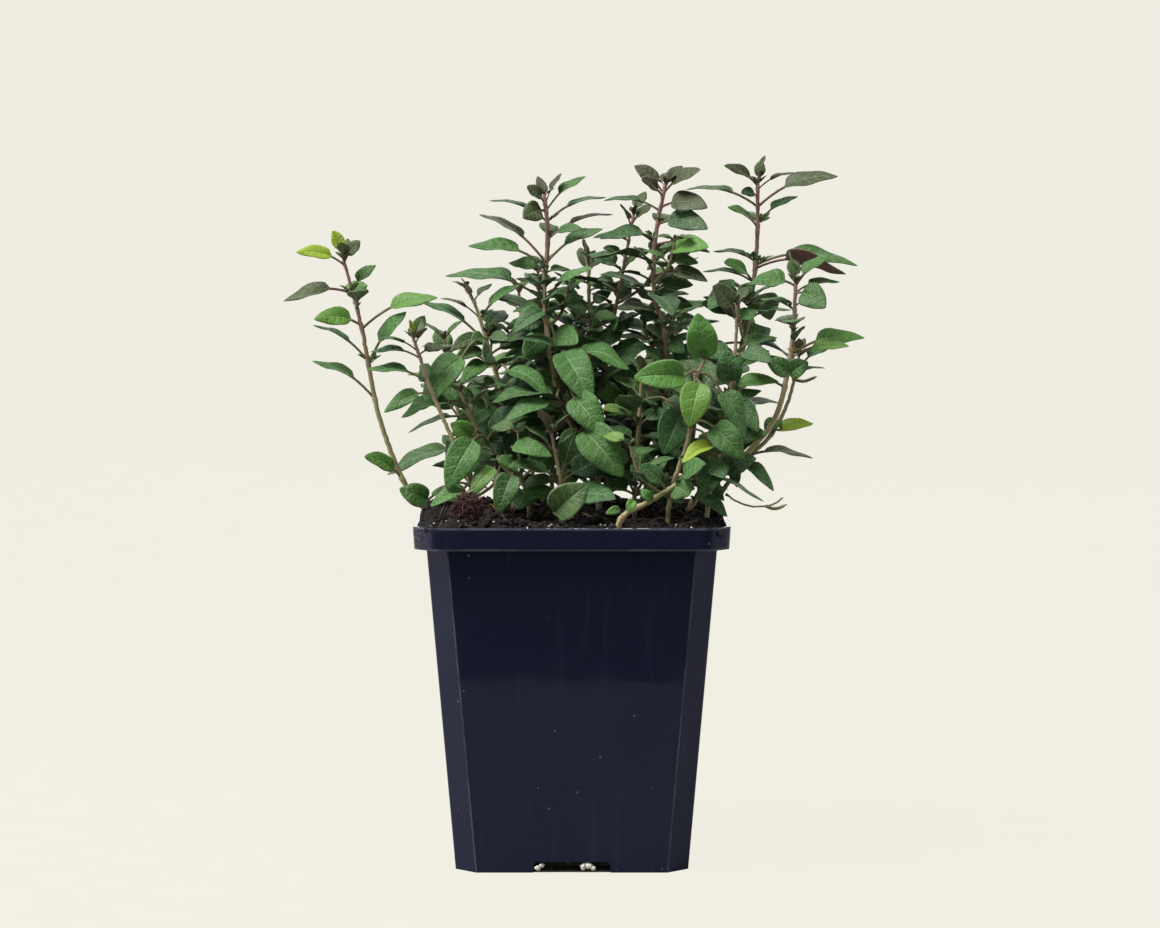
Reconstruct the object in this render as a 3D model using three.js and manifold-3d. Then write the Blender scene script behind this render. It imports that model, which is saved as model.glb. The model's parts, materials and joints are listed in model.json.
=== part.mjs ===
// An oregano plant in a square nursery pot: the pot, its root ball and its leafy stems.
// Millimetres, +Z up. The origin is on the floor under the middle of the pot, and -Y is the front.
import * as THREE from 'three';
import { mergeVertices } from 'three/addons/utils/BufferGeometryUtils.js';
import Module from 'manifold-3d';

const wasm = await Module();
wasm.setup();

// The pot: outer widths across the flats, all corners cut by the same chamfer.
const POT_HEIGHT = 100;
const RIM_WIDTH = 90;
const BAND_HEIGHT = 6.5;
const BAND_FOOT_WIDTH = 89.2;
const BODY_TOP_WIDTH = 82.4;
const BASE_WIDTH = 66.8;
const CHAMFER = 6;
const WALL = 1.1;
const FLOOR = 1.3;
const SHOULDER = 1.2;
// Two crossed channels under the floor let water out through the foot of each wall.
const CHANNEL_WIDTH = 22;
const CHANNEL_HEIGHT = 3.1;
const CHANNEL_CORNER = 1.3;
const DRAIN_RADIUS = 3.5;
const DRAIN_PLACE = 24;

// The root ball.
const GAP = 0.3;
const SOIL_LEVEL = 99.6;
const SOIL_CELLS = 10;
const MOUNDS = [
  { x: -37, y: -24, height: 6.5, spread: 8 },
  { x: 38, y: -20, height: 5, spread: 8 },
  { x: -24, y: -36, height: 3.5, spread: 7 },
  { x: 0, y: 12, height: 3, spread: 20 },
];

// Stems and leaves.
const STEM_SIDES = 5;
const STEM_STEP = 16;
const HOLE_GAP = 0.35;
const BLADE_THICKNESS = 0.7;
const PETIOLE_RADIUS = 0.5;
const PETIOLE_SHARE = 0.34;
const SMALL_BLADE = 4;
const MIDDLE_BLADE = 7;
const CLEARANCE = 1.9;
const OWN_CLEARANCE = 1.2;
const SOIL_CLEARANCE = 1.6;
const RIM_CLEARANCE = 1.8;
const PLANT_DEPTH = 91.6;

// Each stem: its path from the root, and its prominent leaves, read from the plant as
// [height on the stem, tip x, tip y, tip z, blade width, turn of the upper face to the front].
// The other leaves stand in crossed pairs, from the height first upwards, starting at azimuth turn.
const STEMS = [
  {
    name: 'stem_left',
    radius: 0.9,
    path: [
      [-38, -22, 90], [-40, -22, 101], [-47, -23, 109],
      [-55, -24, 130], [-60, -24, 156], [-65, -24, 175],
    ],
    first: 152,
    turn: 90,
    leaves: [
      [175, -68, -24, 183, 4, 70],
      [173, -78, -30, 177, 5, 50],
      [174, -60, -26, 180, 4.6, 70],
      [166, -56, -18, 173, 4, 30],
      [165, -82, -26, 163, 5.5, 35],
      [156, -73, -30, 158, 6, 60],
      [155, -38, -26, 164, 6.5, 40],
      [146, -74, -22, 156, 5, 5],
      [145, -47, -30, 160, 6, 50],
      [135, -74, -26, 146, 6, 20],
      [112, -59, -30, 119, 5.8, 60],
    ],
  },
  {
    name: 'stem_left_inner',
    radius: 0.8,
    path: [
      [-27, -27, 90], [-28, -28, 108], [-34, -30, 124],
      [-40, -30, 138], [-43, -30, 147], [-45, -30, 153],
    ],
    first: 140,
    turn: 70,
    leaves: [
      [151, -41, -34, 156, 3.5, 5],
      [149, -55, -32, 153, 4, 5],
      [147, -57, -34, 149, 4.5, 20],
      [148, -36, -28, 150, 4, 40],
      [152, -46, -35, 158, 4, 70],
      [140, -58, -34, 144, 4.5, 25],
      [137, -53, -36, 132, 5, 50],
      [111, -48, -27, 108, 6, 50],
      [110, -40, -37, 105, 6.5, 60],
    ],
  },
  {
    name: 'stem_front_left',
    radius: 0.9,
    path: [[-12, -16, 90], [-13, -17, 108], [-20, -18, 116], [-27, -19, 126], [-32, -19, 137]],
    first: 114,
    turn: 30,
    leaves: [
      [132, -49, -26, 130, 6.5, 45],
      [129, -47, -20, 125, 3.5, 10],
      [120, -36, -34, 111, 9, 60],
      [123, -42, -10, 140, 6, 20],
      [114, -23, -38, 105, 8, 60],
    ],
  },
  {
    name: 'stem_mid_left',
    radius: 0.9,
    path: [
      [-17, -4, 90], [-17, -4, 112], [-19, -5, 130],
      [-24, -5, 148], [-28, -5, 161], [-31, -5, 166],
    ],
    first: 112,
    turn: 80,
    leaves: [
      [149, -44, -8, 162, 5, 20],
      [157, -38, -8, 163, 3, 10],
      [162, -32, -9, 169, 3.6, 30],
      [148, -42, -24, 132, 9.5, 60],
      [151, -35, -14, 148, 5, 40],
      [157, -15, -8, 167, 6, 30],
      [162, -23, -4, 167, 3.6, 20],
      [144, -32, -20, 139, 5.5, 30],
      [142, -9, -20, 134, 6.5, 40],
    ],
  },
  {
    name: 'stem_main',
    radius: 1.1,
    path: [
      [8, -6, 90], [7, -6, 112], [0, -5, 126], [-5, -5, 140],
      [-8, -5, 162], [-7, -5, 180], [-8, -5, 193],
    ],
    first: 116,
    turn: 95,
    leaves: [
      [190, -13, -9, 195, 5, 60],
      [188, -14, -10, 186, 6.5, 60],
      [191, -10, -3, 198, 3, 10],
      [190, -3, -3, 199, 3, 10],
      [188, 4, -1, 198, 3, 20],
      [185, 10, -5, 192, 4.5, 10],
      [185, -24, -3, 191, 3.8, 5],
      [180, 12, -3, 187, 3.6, 5],
      [180, 3, -12, 183, 4, 45],
      [173, -27, -1, 187, 4.2, 10],
      [172, -30, -9, 178, 7, 30],
      [173, 9, -9, 183, 6, 35],
      [172, -18, -18, 164, 7, 55],
      [162, -37, -5, 169, 5, 20],
      [162, 6, -16, 172, 7, 30],
      [157, -15, -18, 152, 7, 40],
      [152, -21, -8, 150, 7, 30],
      [148, 5, -26, 134, 9.5, 30],
      [148, 17, -20, 144, 8, 40],
      [138, 8, -31, 125, 9.5, 30],
      [133, -20, -26, 129, 7, 45],
      [133, -24, -16, 134, 7, 30],
      [128, 15, -35, 114, 12, 30],
      [123, -19, -28, 124, 7.5, 50],
    ],
  },
  {
    name: 'stem_centre_back',
    radius: 0.8,
    path: [[12, 8, 90], [11, 8, 112], [10, 8, 140], [12, 8, 155], [15, 8, 171], [18, 8, 187]],
    first: 114,
    turn: 60,
    leaves: [
      [184, 23, 4, 189, 5, 45],
      [183, 14, 3, 190, 4, 30],
      [179, 6, 6, 180, 5, 20],
      [174, 9, 4, 177, 3.5, 50],
      [173, 23, 9, 176, 3.5, 50],
      [163, 24, 4, 166, 4, 10],
      [153, 0, 2, 155, 5, 20],
      [153, 20, 4, 158, 6, 20],
    ],
  },
  {
    name: 'stem_pale',
    radius: 0.9,
    path: [[5, 19, 90], [6, 19, 112], [6, 18, 140], [5, 18, 160], [5, 18, 174]],
    first: 116,
    turn: 20,
    leaves: [
      [171, 3, 13, 179, 6, 75],
      [170, 9, 13, 174, 5, 60],
      [166, -3, 13, 166, 5, 20],
      [164, 14, 15, 164, 5, 10],
      [152, -6, 13, 156, 6, 10],
      [152, 17, 15, 155, 6, 10],
    ],
  },
  {
    name: 'stem_red',
    radius: 1,
    path: [[28, -3, 90], [28, -3, 112], [27, -2, 150], [24, -2, 163], [24, -2, 179], [27, -2, 196]],
    first: 112,
    turn: 100,
    leaves: [
      [193, 18, 0, 201, 5, 60],
      [192, 20, -9, 197, 5, 60],
      [194, 32, 0, 201, 4, 50],
      [193, 37, -5, 200, 5.5, 50],
      [188, 9, -2, 191, 5.2, 15],
      [189, 39, -9, 189, 7.5, 50],
      [184, 39, -12, 183, 7.5, 50],
      [180, 8, -6, 180, 6, 35],
      [178, 40, -5, 176, 5.5, 30],
      [173, 39, -12, 178, 7, 50],
      [169, 39, -13, 168, 5.5, 40],
      [162, 34, -4, 164, 4.5, 20],
      [162, 14, 2, 166, 4, 0],
      [157, 13, -12, 160, 7, 20],
      [162, 8, -12, 170, 7.5, 20],
      [151, 43, 0, 156, 6, 15],
    ],
  },
  {
    name: 'stem_right',
    radius: 1,
    path: [
      [38, 6, 90], [39, 6, 110], [45, 5, 132], [50, 5, 150],
      [53, 5, 168], [54, 5, 182], [54, 5, 196],
    ],
    first: 126,
    turn: 85,
    leaves: [
      [195, 44, 0, 201, 5, 45],
      [196, 56, 3, 204, 5, 55],
      [194, 65, 6, 199, 3.5, 10],
      [192, 49, 0, 193, 3.6, 55],
      [189, 77, 2, 198, 6, 35],
      [189, 33, 8, 194, 4.5, 10],
      [183, 45, -2, 189, 5, 40],
      [184, 66, 9, 192, 4, 20],
      [173, 41, 6, 176, 5.5, 10],
      [172, 83, 0, 172, 5.2, 20],
      [171, 79, -9, 170, 6, -40],
      [167, 44, -4, 173, 6, 50],
      [167, 38, 8, 170, 5, 10],
      [163, 42, 0, 167, 4, 20],
      [162, 58, 2, 166, 3.8, 15],
      [156, 64, 4, 159, 5, 10],
      [155, 38, 0, 163, 6, 30],
    ],
  },
  {
    name: 'stem_right_bow',
    radius: 1,
    path: [
      [31, -22, 90], [34, -21, 104], [43, -20, 113], [52, -19, 121],
      [59, -18, 131], [63, -18, 150], [64, -18, 168],
    ],
    first: 150,
    turn: 95,
    leaves: [
      [167, 51, -20, 168, 8, 35],
      [168, 62, -20, 177, 7, 40],
      [167, 74, -16, 176, 6, 20],
      [165, 72, -26, 161, 8, 55],
      [165, 77, -14, 168, 4.5, 20],
      [160, 54, -13, 163, 5, 10],
      [147, 84, -16, 152, 6.5, 40],
      [146, 79, -24, 150, 5, 40],
      [149, 66, -26, 156, 4, 20],
      [145, 56, -24, 148, 7, 55],
      [143, 68, -23, 145, 6, 45],
      [138, 48, -23, 138, 8, 45],
      [117, 69, -24, 118, 4, 10],
      [118, 57, -28, 109, 6, 25],
      [116, 47, -27, 110, 4.5, 45],
    ],
  },
  {
    name: 'stem_right_inner',
    radius: 0.8,
    path: [[38, -7, 90], [42, -6, 104], [51, -3, 116], [58, -1, 123], [63, 0, 133], [66, 0, 146]],
    first: 132,
    turn: 80,
    leaves: [
      [123, 70, -4, 126, 6, 45],
      [127, 56, -7, 124, 5, 20],
      [140, 74, 5, 142, 3.6, 5],
      [141, 53, 4, 145, 5, 20],
      [141, 77, 8, 149, 5, 20],
    ],
  },
  {
    name: 'stem_olive',
    radius: 0.8,
    path: [
      [38, -29, 90], [39, -29, 108], [43, -24, 124],
      [46, -21, 142], [47, -20, 154], [47, -20, 162],
    ],
    first: 128,
    turn: 60,
    leaves: [
      [158, 40, -23, 167, 8, 65],
      [156, 53, -18, 160, 6, 35],
      [148, 59, -15, 152, 6, 25],
      [147, 43, -21, 147, 5, 20],
      [142, 49, -27, 142, 9, 60],
      [141, 57, -10, 148, 6, 30],
      [134, 53, -29, 126, 7, 45],
    ],
  },
  {
    name: 'stem_front_right',
    radius: 0.8,
    path: [[27, -30, 90], [28, -30, 108], [33, -30, 124], [35, -30, 140], [38, -30, 147]],
    first: 112,
    turn: 10,
    leaves: [
      [147, 33, -34, 160, 9, 72],
      [143, 18, -38, 142, 9.5, 68],
      [140, 35, -40, 128, 9, 62],
      [143, 49, -33, 130, 7, 50],
      [128, 49, -38, 118, 9, 60],
      [127, 31, -38, 118, 6, 70],
      [118, 37, -38, 105, 6, 70],
    ],
  },
  {
    name: 'stem_runner',
    radius: 1,
    path: [[12, -37, 90], [14, -38, 102], [22, -37, 107], [30, -37, 112]],
    first: 110,
    turn: 0,
    leaves: [
      [110, 19, -41, 117, 6.5, 60],
      [111, 33, -42, 109, 8, 60],
      [112, 37, -36, 118, 7, 60],
      [105, 13, -43, 107, 4.5, 60],
    ],
  },
  {
    name: 'stem_back_left',
    radius: 0.8,
    path: [[-30, 14, 90], [-30, 15, 110], [-34, 18, 130], [-38, 20, 150]],
    first: 112,
    turn: 15,
    leaves: [],
  },
  {
    name: 'stem_back_middle',
    radius: 0.8,
    path: [[-12, 28, 90], [-12, 29, 112], [-14, 33, 140], [-16, 36, 163]],
    first: 114,
    turn: 50,
    leaves: [],
  },
  {
    name: 'stem_back_right',
    radius: 0.8,
    path: [[24, 29, 90], [24, 30, 112], [28, 34, 140], [31, 37, 168]],
    first: 114,
    turn: 35,
    leaves: [],
  },
  {
    name: 'stem_side_right',
    radius: 0.8,
    path: [[39, 20, 90], [40, 20, 110], [46, 23, 130], [52, 25, 150]],
    first: 114,
    turn: 75,
    leaves: [],
  },
  {
    name: 'stem_centre',
    radius: 0.8,
    path: [[-6, 7, 90], [-6, 8, 110], [-8, 10, 140], [-10, 12, 170]],
    first: 112,
    turn: 25,
    leaves: [],
  },
  {
    name: 'stem_front',
    radius: 0.8,
    path: [[-3, -27, 90], [-3, -27, 106], [-4, -27, 116], [-6, -28, 126]],
    first: 108,
    turn: 40,
    leaves: [
      [111, 4, -41, 103, 9.5, 60],
    ],
  },
  {
    name: 'stem_front_middle',
    radius: 0.8,
    path: [[18, -17, 90], [18, -17, 106], [19, -18, 124], [20, -19, 142]],
    first: 112,
    turn: 65,
    leaves: [
      [134, 28, -28, 119, 10, 45],
      [119, 18, -34, 107, 7, 60],
      [124, 34, -25, 116, 5.6, 20],
    ],
  },
];

// The pairs that stand by rule, from the top down: each lower leaf is longer, up to a limit.
const TOP_REACH = 8;
const REACH_GROWTH = 0.6;
const LONGEST_REACH = 24;
const TOP_INTERNODE = 6;
const INTERNODE_GROWTH = 0.2;
const SEED = 4021;
const HALVINGS = 40;

const LEAF_GREEN = 0x35603a;
const POT_BLACK = 0x14161f;
const SOIL_BROWN = 0x1c1613;

function material(colour, roughness) {
  return new THREE.MeshStandardMaterial({ color: colour, roughness, metalness: 0 });
}

// A closed body through rings of points, each seen turning left from the far end. Equal points
// of a ring are merged, so a ring may have fewer corners than its neighbours.
function loft(rings) {
  const sides = rings[0].length;
  const index = [];
  for (let i = 0; i + 1 < rings.length; i += 1) {
    for (let j = 0; j < sides; j += 1) {
      const a = i * sides + j;
      const b = i * sides + (j + 1) % sides;
      if (j * 2 < sides) index.push(a, b, b + sides, a, b + sides, a + sides);
      else index.push(a, b, a + sides, b, b + sides, a + sides);
    }
  }
  const last = (rings.length - 1) * sides;
  for (let j = 1; j + 1 < sides; j += 1) {
    index.push(0, j + 1, j, last, last + j, last + j + 1);
  }
  const geometry = new THREE.BufferGeometry().setFromPoints(rings.flat());
  geometry.setIndex(index);
  return geometry;
}

function solidOf(geometry) {
  geometry.deleteAttribute('normal');
  geometry.deleteAttribute('uv');
  const merged = mergeVertices(geometry, 1e-4);
  const index = merged.index.array;
  const kept = [];
  for (let i = 0; i < index.length; i += 3) {
    const [a, b, c] = index.slice(i, i + 3);
    if (a !== b && b !== c && a !== c) kept.push(a, b, c);
  }
  return new wasm.Manifold(new wasm.Mesh({
    numProp: 3,
    vertProperties: new Float32Array(merged.attributes.position.array),
    triVerts: new Uint32Array(kept),
  }));
}

function meshOf(name, solid, look) {
  const { numProp, vertProperties, triVerts } = solid.getMesh();
  const positions = new Float32Array(vertProperties.length / numProp * 3);
  for (let i = 0; i < positions.length; i += 1) {
    positions[i] = vertProperties[Math.floor(i / 3) * numProp + i % 3];
  }
  const geometry = new THREE.BufferGeometry();
  geometry.setAttribute('position', new THREE.BufferAttribute(positions, 3));
  geometry.setIndex(new THREE.BufferAttribute(new Uint32Array(triVerts), 1));
  geometry.computeVertexNormals();
  const mesh = new THREE.Mesh(geometry, look);
  mesh.name = name;
  return mesh;
}

// One level of a square with cut corners.
function level(width, chamfer, z) {
  const h = width / 2;
  const c = h - chamfer;
  return [[c, -h], [h, -c], [h, c], [c, h], [-c, h], [-h, c], [-h, -c], [-c, -h]]
    .map(([x, y]) => new THREE.Vector3(x, y, z));
}

function bodyWidthAt(z) {
  const share = z / (POT_HEIGHT - BAND_HEIGHT);
  return BASE_WIDTH + (BODY_TOP_WIDTH - BASE_WIDTH) * share;
}

// The space inside the pot, shrunk by a gap on every side for what fills it.
function potSpace(gap, top) {
  const shoulder = POT_HEIGHT - BAND_HEIGHT;
  const inset = 2 * (WALL + gap);
  const corner = CHAMFER - (WALL + gap) * 0.6;
  const inside = (z) => level(bodyWidthAt(z) - inset, corner, z);
  const wide = (z) => level(BAND_FOOT_WIDTH - inset, corner, z);
  return loft([inside(FLOOR + gap), inside(shoulder + gap), wide(shoulder + SHOULDER + gap), wide(top)]);
}

// The mouth of a drainage channel is a rectangle with rounded upper corners.
function channel(width, height, corner, length) {
  const outline = new THREE.Shape();
  const h = width / 2;
  outline.moveTo(-h, -1);
  outline.lineTo(h, -1);
  outline.lineTo(h, height - corner);
  outline.absarc(h - corner, height - corner, corner, 0, Math.PI / 2);
  outline.absarc(corner - h, height - corner, corner, Math.PI / 2, Math.PI);
  const options = { depth: length, bevelEnabled: false, curveSegments: 2 };
  return new THREE.ExtrudeGeometry(outline, options)
    .translate(0, 0, -length / 2)
    .rotateX(Math.PI / 2);
}

function crossedChannels(grow) {
  const width = CHANNEL_WIDTH + 2 * grow;
  const height = CHANNEL_HEIGHT + grow;
  const corner = CHANNEL_CORNER + grow;
  const along = solidOf(channel(width, height, corner, 2 * RIM_WIDTH));
  const across = solidOf(channel(width, height, corner, 2 * RIM_WIDTH).rotateZ(Math.PI / 2));
  return along.add(across);
}

function makePot() {
  const shoulder = POT_HEIGHT - BAND_HEIGHT;
  const outside = loft([
    level(BASE_WIDTH, CHAMFER, 0),
    level(BODY_TOP_WIDTH, CHAMFER, shoulder),
    level(BAND_FOOT_WIDTH, CHAMFER, shoulder),
    level(RIM_WIDTH, CHAMFER, POT_HEIGHT),
  ]);
  const space = solidOf(potSpace(0, POT_HEIGHT + 1)).subtract(crossedChannels(FLOOR));
  let pot = solidOf(outside).subtract(space).subtract(crossedChannels(0));
  const drains = [[0, 0], [DRAIN_PLACE, 0], [-DRAIN_PLACE, 0], [0, DRAIN_PLACE], [0, -DRAIN_PLACE]];
  for (const [x, y] of drains) {
    const drain = new THREE.CylinderGeometry(DRAIN_RADIUS, DRAIN_RADIUS, 4 * FLOOR, 10);
    drain.rotateX(Math.PI / 2).translate(x, y, CHANNEL_HEIGHT + FLOOR / 2);
    pot = pot.subtract(solidOf(drain));
  }
  return meshOf('pot', pot, material(POT_BLACK, 0.38));
}

function soilHeight(x, y) {
  let z = SOIL_LEVEL + 0.5 * Math.sin(x * 0.31) * Math.cos(y * 0.27);
  for (const mound of MOUNDS) {
    const far = (x - mound.x) ** 2 + (y - mound.y) ** 2;
    z += mound.height * Math.exp(-far / (2 * mound.spread ** 2));
  }
  return z;
}

// A block wider than the pot, its top raised and sunk to the soil's height.
function heapedBlock() {
  const block = new THREE.BoxGeometry(RIM_WIDTH, RIM_WIDTH, 1, SOIL_CELLS, SOIL_CELLS, 1);
  const points = block.attributes.position;
  for (let i = 0; i < points.count; i += 1) {
    points.setZ(i, points.getZ(i) > 0 ? soilHeight(points.getX(i), points.getY(i)) : 0);
  }
  return solidOf(block);
}

function stemCurve(path) {
  const points = path.map(([x, y, z]) => new THREE.Vector3(x, y, z));
  return new THREE.CatmullRomCurve3(points, false, 'catmullrom', 0.5);
}

function stemTube(path, radius) {
  const curve = stemCurve(path);
  const section = new THREE.Shape();
  for (let i = 0; i < STEM_SIDES; i += 1) {
    const angle = i / STEM_SIDES * 2 * Math.PI;
    const [x, y] = [radius * Math.cos(angle), radius * Math.sin(angle)];
    if (i === 0) section.moveTo(x, y);
    else section.lineTo(x, y);
  }
  const steps = Math.round(curve.getLength() / STEM_STEP) + 2;
  return solidOf(new THREE.ExtrudeGeometry(section, { steps, extrudePath: curve }));
}

function makeSoil() {
  let soil = solidOf(potSpace(GAP, POT_HEIGHT + 20)).intersect(heapedBlock());
  soil = soil.subtract(crossedChannels(FLOOR + GAP));
  for (const stem of STEMS) {
    const [root, ...rest] = stem.path;
    const deeper = [root[0], root[1], root[2] - 2 * HOLE_GAP];
    soil = soil.subtract(stemTube([deeper, ...rest], stem.radius + HOLE_GAP));
  }
  return meshOf('root_ball', soil, material(SOIL_BROWN, 0.95));
}

// Random numbers that are the same each time.
function seeded(seed) {
  let state = seed;
  return () => {
    state = state * 16807 % 2147483647;
    return state / 2147483647;
  };
}

// The place on a stem at a height, found by halving.
function stemPlace(curve, z) {
  let low = 0;
  let high = 1;
  for (let i = 0; i < HALVINGS; i += 1) {
    const middle = (low + high) / 2;
    if (curve.getPoint(middle).z < z) low = middle;
    else high = middle;
  }
  return curve.getPoint(low);
}

// A leaf: its midrib bends from the stem over a point above the straight line to its tip.
function leafTo(base, tip, width, turn) {
  const length = base.distanceTo(tip);
  const bend = base.clone().lerp(tip, 0.45);
  bend.z += 0.24 * length;
  return { base, bend, tip, width, turn: THREE.MathUtils.degToRad(turn), length };
}

function midrib(leaf, u) {
  const [a, b, c] = [(1 - u) ** 2, 2 * u * (1 - u), u ** 2];
  return leaf.base.clone().multiplyScalar(a).addScaledVector(leaf.bend, b).addScaledVector(leaf.tip, c);
}

// The blade's half width from its foot, v = 0, to its tip, v = 1: an egg shape.
function halfWidth(leaf, v) {
  return leaf.width / 2 * Math.sin(Math.PI * v ** 0.72) ** 0.85;
}

// The directions across the blade and out of its upper face.
function leafFrame(leaf, u) {
  const along = midrib(leaf, u + 0.01).sub(midrib(leaf, u - 0.01)).normalize();
  const side = new THREE.Vector3(leaf.tip.y - leaf.base.y, leaf.base.x - leaf.tip.x, 0).normalize();
  const up = side.clone().cross(along).normalize();
  const angle = side.y < 0 ? -leaf.turn : leaf.turn;
  const across = side.clone().multiplyScalar(Math.cos(angle)).addScaledVector(up, Math.sin(angle));
  const normal = up.clone().multiplyScalar(Math.cos(angle)).addScaledVector(side, -Math.sin(angle));
  return { across, normal };
}

// The margins stand above the midrib near the foot and fall below it near the tip.
function marginLift(v) {
  return 0.32 - 0.5 * v;
}

function bladeShare(v) {
  return PETIOLE_SHARE + (1 - PETIOLE_SHARE) * v;
}

function bladePoint(leaf, v, part) {
  const u = bladeShare(v);
  const { across, normal } = leafFrame(leaf, u);
  const out = part * halfWidth(leaf, v);
  return midrib(leaf, u).addScaledVector(across, out).addScaledVector(normal, Math.abs(out) * marginLift(v));
}

// A ring across a leaf: four corners, half a width out and half a thickness up and down. A keel
// brings the two lower corners together, which makes a three-sided petiole.
function leafRing(leaf, u, out, lift, rise, keel = 1) {
  const { across, normal } = leafFrame(leaf, u);
  const centre = midrib(leaf, u).addScaledVector(normal, lift);
  return [[-keel, -1], [keel, -1], [1, 1], [-1, 1]].map(([side, face]) => (
    centre.clone().addScaledVector(across, -side * out).addScaledVector(normal, face * rise)
  ));
}

function stationsOf(leaf) {
  if (leaf.width > MIDDLE_BLADE) return [0.18, 0.5, 0.82];
  return leaf.width > SMALL_BLADE ? [0.28, 0.7] : [0.42];
}

function leafSolid(leaf) {
  const blade = stationsOf(leaf).map((v) => {
    const out = halfWidth(leaf, v);
    return leafRing(leaf, bladeShare(v), out, out * marginLift(v) / 2, BLADE_THICKNESS / 2);
  });
  return solidOf(loft([
    leafRing(leaf, 0.01, PETIOLE_RADIUS, 0, PETIOLE_RADIUS, 0),
    leafRing(leaf, PETIOLE_SHARE, PETIOLE_RADIUS, 0, PETIOLE_RADIUS, 0),
    ...blade,
    leafRing(leaf, 1, 0, 0, BLADE_THICKNESS / 2),
  ]));
}

// Points spread over a leaf, to keep it clear of the others.
function leafPoints(leaf) {
  const along = Math.ceil(leaf.length * (1 - PETIOLE_SHARE) / 2) + 1;
  const across = leaf.width > SMALL_BLADE ? [-1, -0.5, 0, 0.5, 1] : [-1, 0, 1];
  const blade = [];
  for (let i = 0; i < along; i += 1) {
    for (const part of across) blade.push(bladePoint(leaf, (i + 0.6) / along, part));
  }
  const petiole = [0.12, 0.2, 0.28].map((u) => midrib(leaf, u));
  return { blade, all: [...petiole, ...blade] };
}

function bounding(points) {
  const centre = new THREE.Vector3();
  for (const point of points) centre.addScaledVector(point, 1 / points.length);
  const reach = Math.max(...points.map((point) => point.distanceTo(centre)));
  return { centre, reach };
}

function tooClose(a, b, limit) {
  return a.some((p) => b.some((q) => p.distanceToSquared(q) < limit * limit));
}

// Leaves stay over the soil and the rim, and reach no further back or forward than the pot.
function isFree(point) {
  if (Math.abs(point.y) > PLANT_DEPTH / 2) return false;
  const inside = Math.max(Math.abs(point.x), Math.abs(point.y)) < RIM_WIDTH / 2 + 2;
  if (!inside) return point.z > POT_HEIGHT;
  return point.z > Math.max(POT_HEIGHT + RIM_CLEARANCE, soilHeight(point.x, point.y) + SOIL_CLEARANCE);
}

const placed = [];

function clears(leaf, stem) {
  const { blade, all } = leafPoints(leaf);
  if (!blade.every(isFree)) return false;
  const { centre, reach } = bounding(all);
  for (const other of placed) {
    if (centre.distanceTo(other.centre) > reach + other.reach + CLEARANCE) continue;
    const own = other.stem === stem;
    const theirs = own ? other.blade : other.all;
    const mine = own ? blade : all;
    if (own && other.tube) {
      const away = theirs.filter((q) => q.distanceTo(leaf.base) > 5);
      if (tooClose(mine, away, OWN_CLEARANCE)) return false;
    } else if (tooClose(mine, theirs, own ? OWN_CLEARANCE : CLEARANCE)) return false;
  }
  placed.push({ stem, blade, all, centre, reach });
  return true;
}

function placeStem(stem) {
  const curve = stemCurve(stem.path);
  const count = Math.ceil(curve.getLength() / 1.2);
  const points = [];
  for (let i = 0; i <= count; i += 1) points.push(curve.getPoint(i / count));
  placed.push({ stem, blade: points, all: points, tube: true, ...bounding(points) });
}

// A prominent leaf keeps its place in the front view and only moves in depth to be clear.
const DEPTH_TRIES = [0, 3, -3, 6, -6, 9, -9, 12, -12, 15, -15];
const HEIGHT_TRIES = [0, 2, -2, 4];

function placeProminent(stem, [z, x, y, tipZ, width, turn]) {
  const base = stemPlace(stemCurve(stem.path), z);
  for (const rise of HEIGHT_TRIES) {
    for (const shift of DEPTH_TRIES) {
      const leaf = leafTo(base, new THREE.Vector3(x, y + shift, tipZ + rise), width, turn);
      if (clears(leaf, stem)) return leaf;
    }
  }
  return null;
}

const TURN_TRIES = [0, 14, -14, 28, -28, 42, -42];
const TILT_TRIES = [0, 14, -14, 28];
const SIZE_TRIES = [1, 0.78, 0.6];

function placeByRule(stem, base, azimuth, tilt, reach, widthShare, turn) {
  for (const size of SIZE_TRIES) {
    for (const raise of TILT_TRIES) {
      for (const swing of TURN_TRIES) {
        const heading = THREE.MathUtils.degToRad(azimuth + swing);
        const angle = THREE.MathUtils.degToRad(tilt + raise);
        const out = reach * size * Math.cos(angle);
        const tip = base.clone();
        tip.x += out * Math.cos(heading);
        tip.y += out * Math.sin(heading);
        tip.z += reach * size * Math.sin(angle);
        const leaf = leafTo(base, tip, reach * size * widthShare, turn);
        if (clears(leaf, stem)) return leaf;
      }
    }
  }
  return null;
}

// A place in a pair is taken where a prominent leaf leaves the stem near it, on the same side.
function isTaken(leaves, base, azimuth) {
  return leaves.some((leaf) => {
    const heading = Math.atan2(leaf.tip.y - leaf.base.y, leaf.tip.x - leaf.base.x);
    const apart = Math.cos(heading - THREE.MathUtils.degToRad(azimuth));
    return Math.abs(leaf.base.z - base.z) < 4 && apart > 0.5;
  });
}

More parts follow.
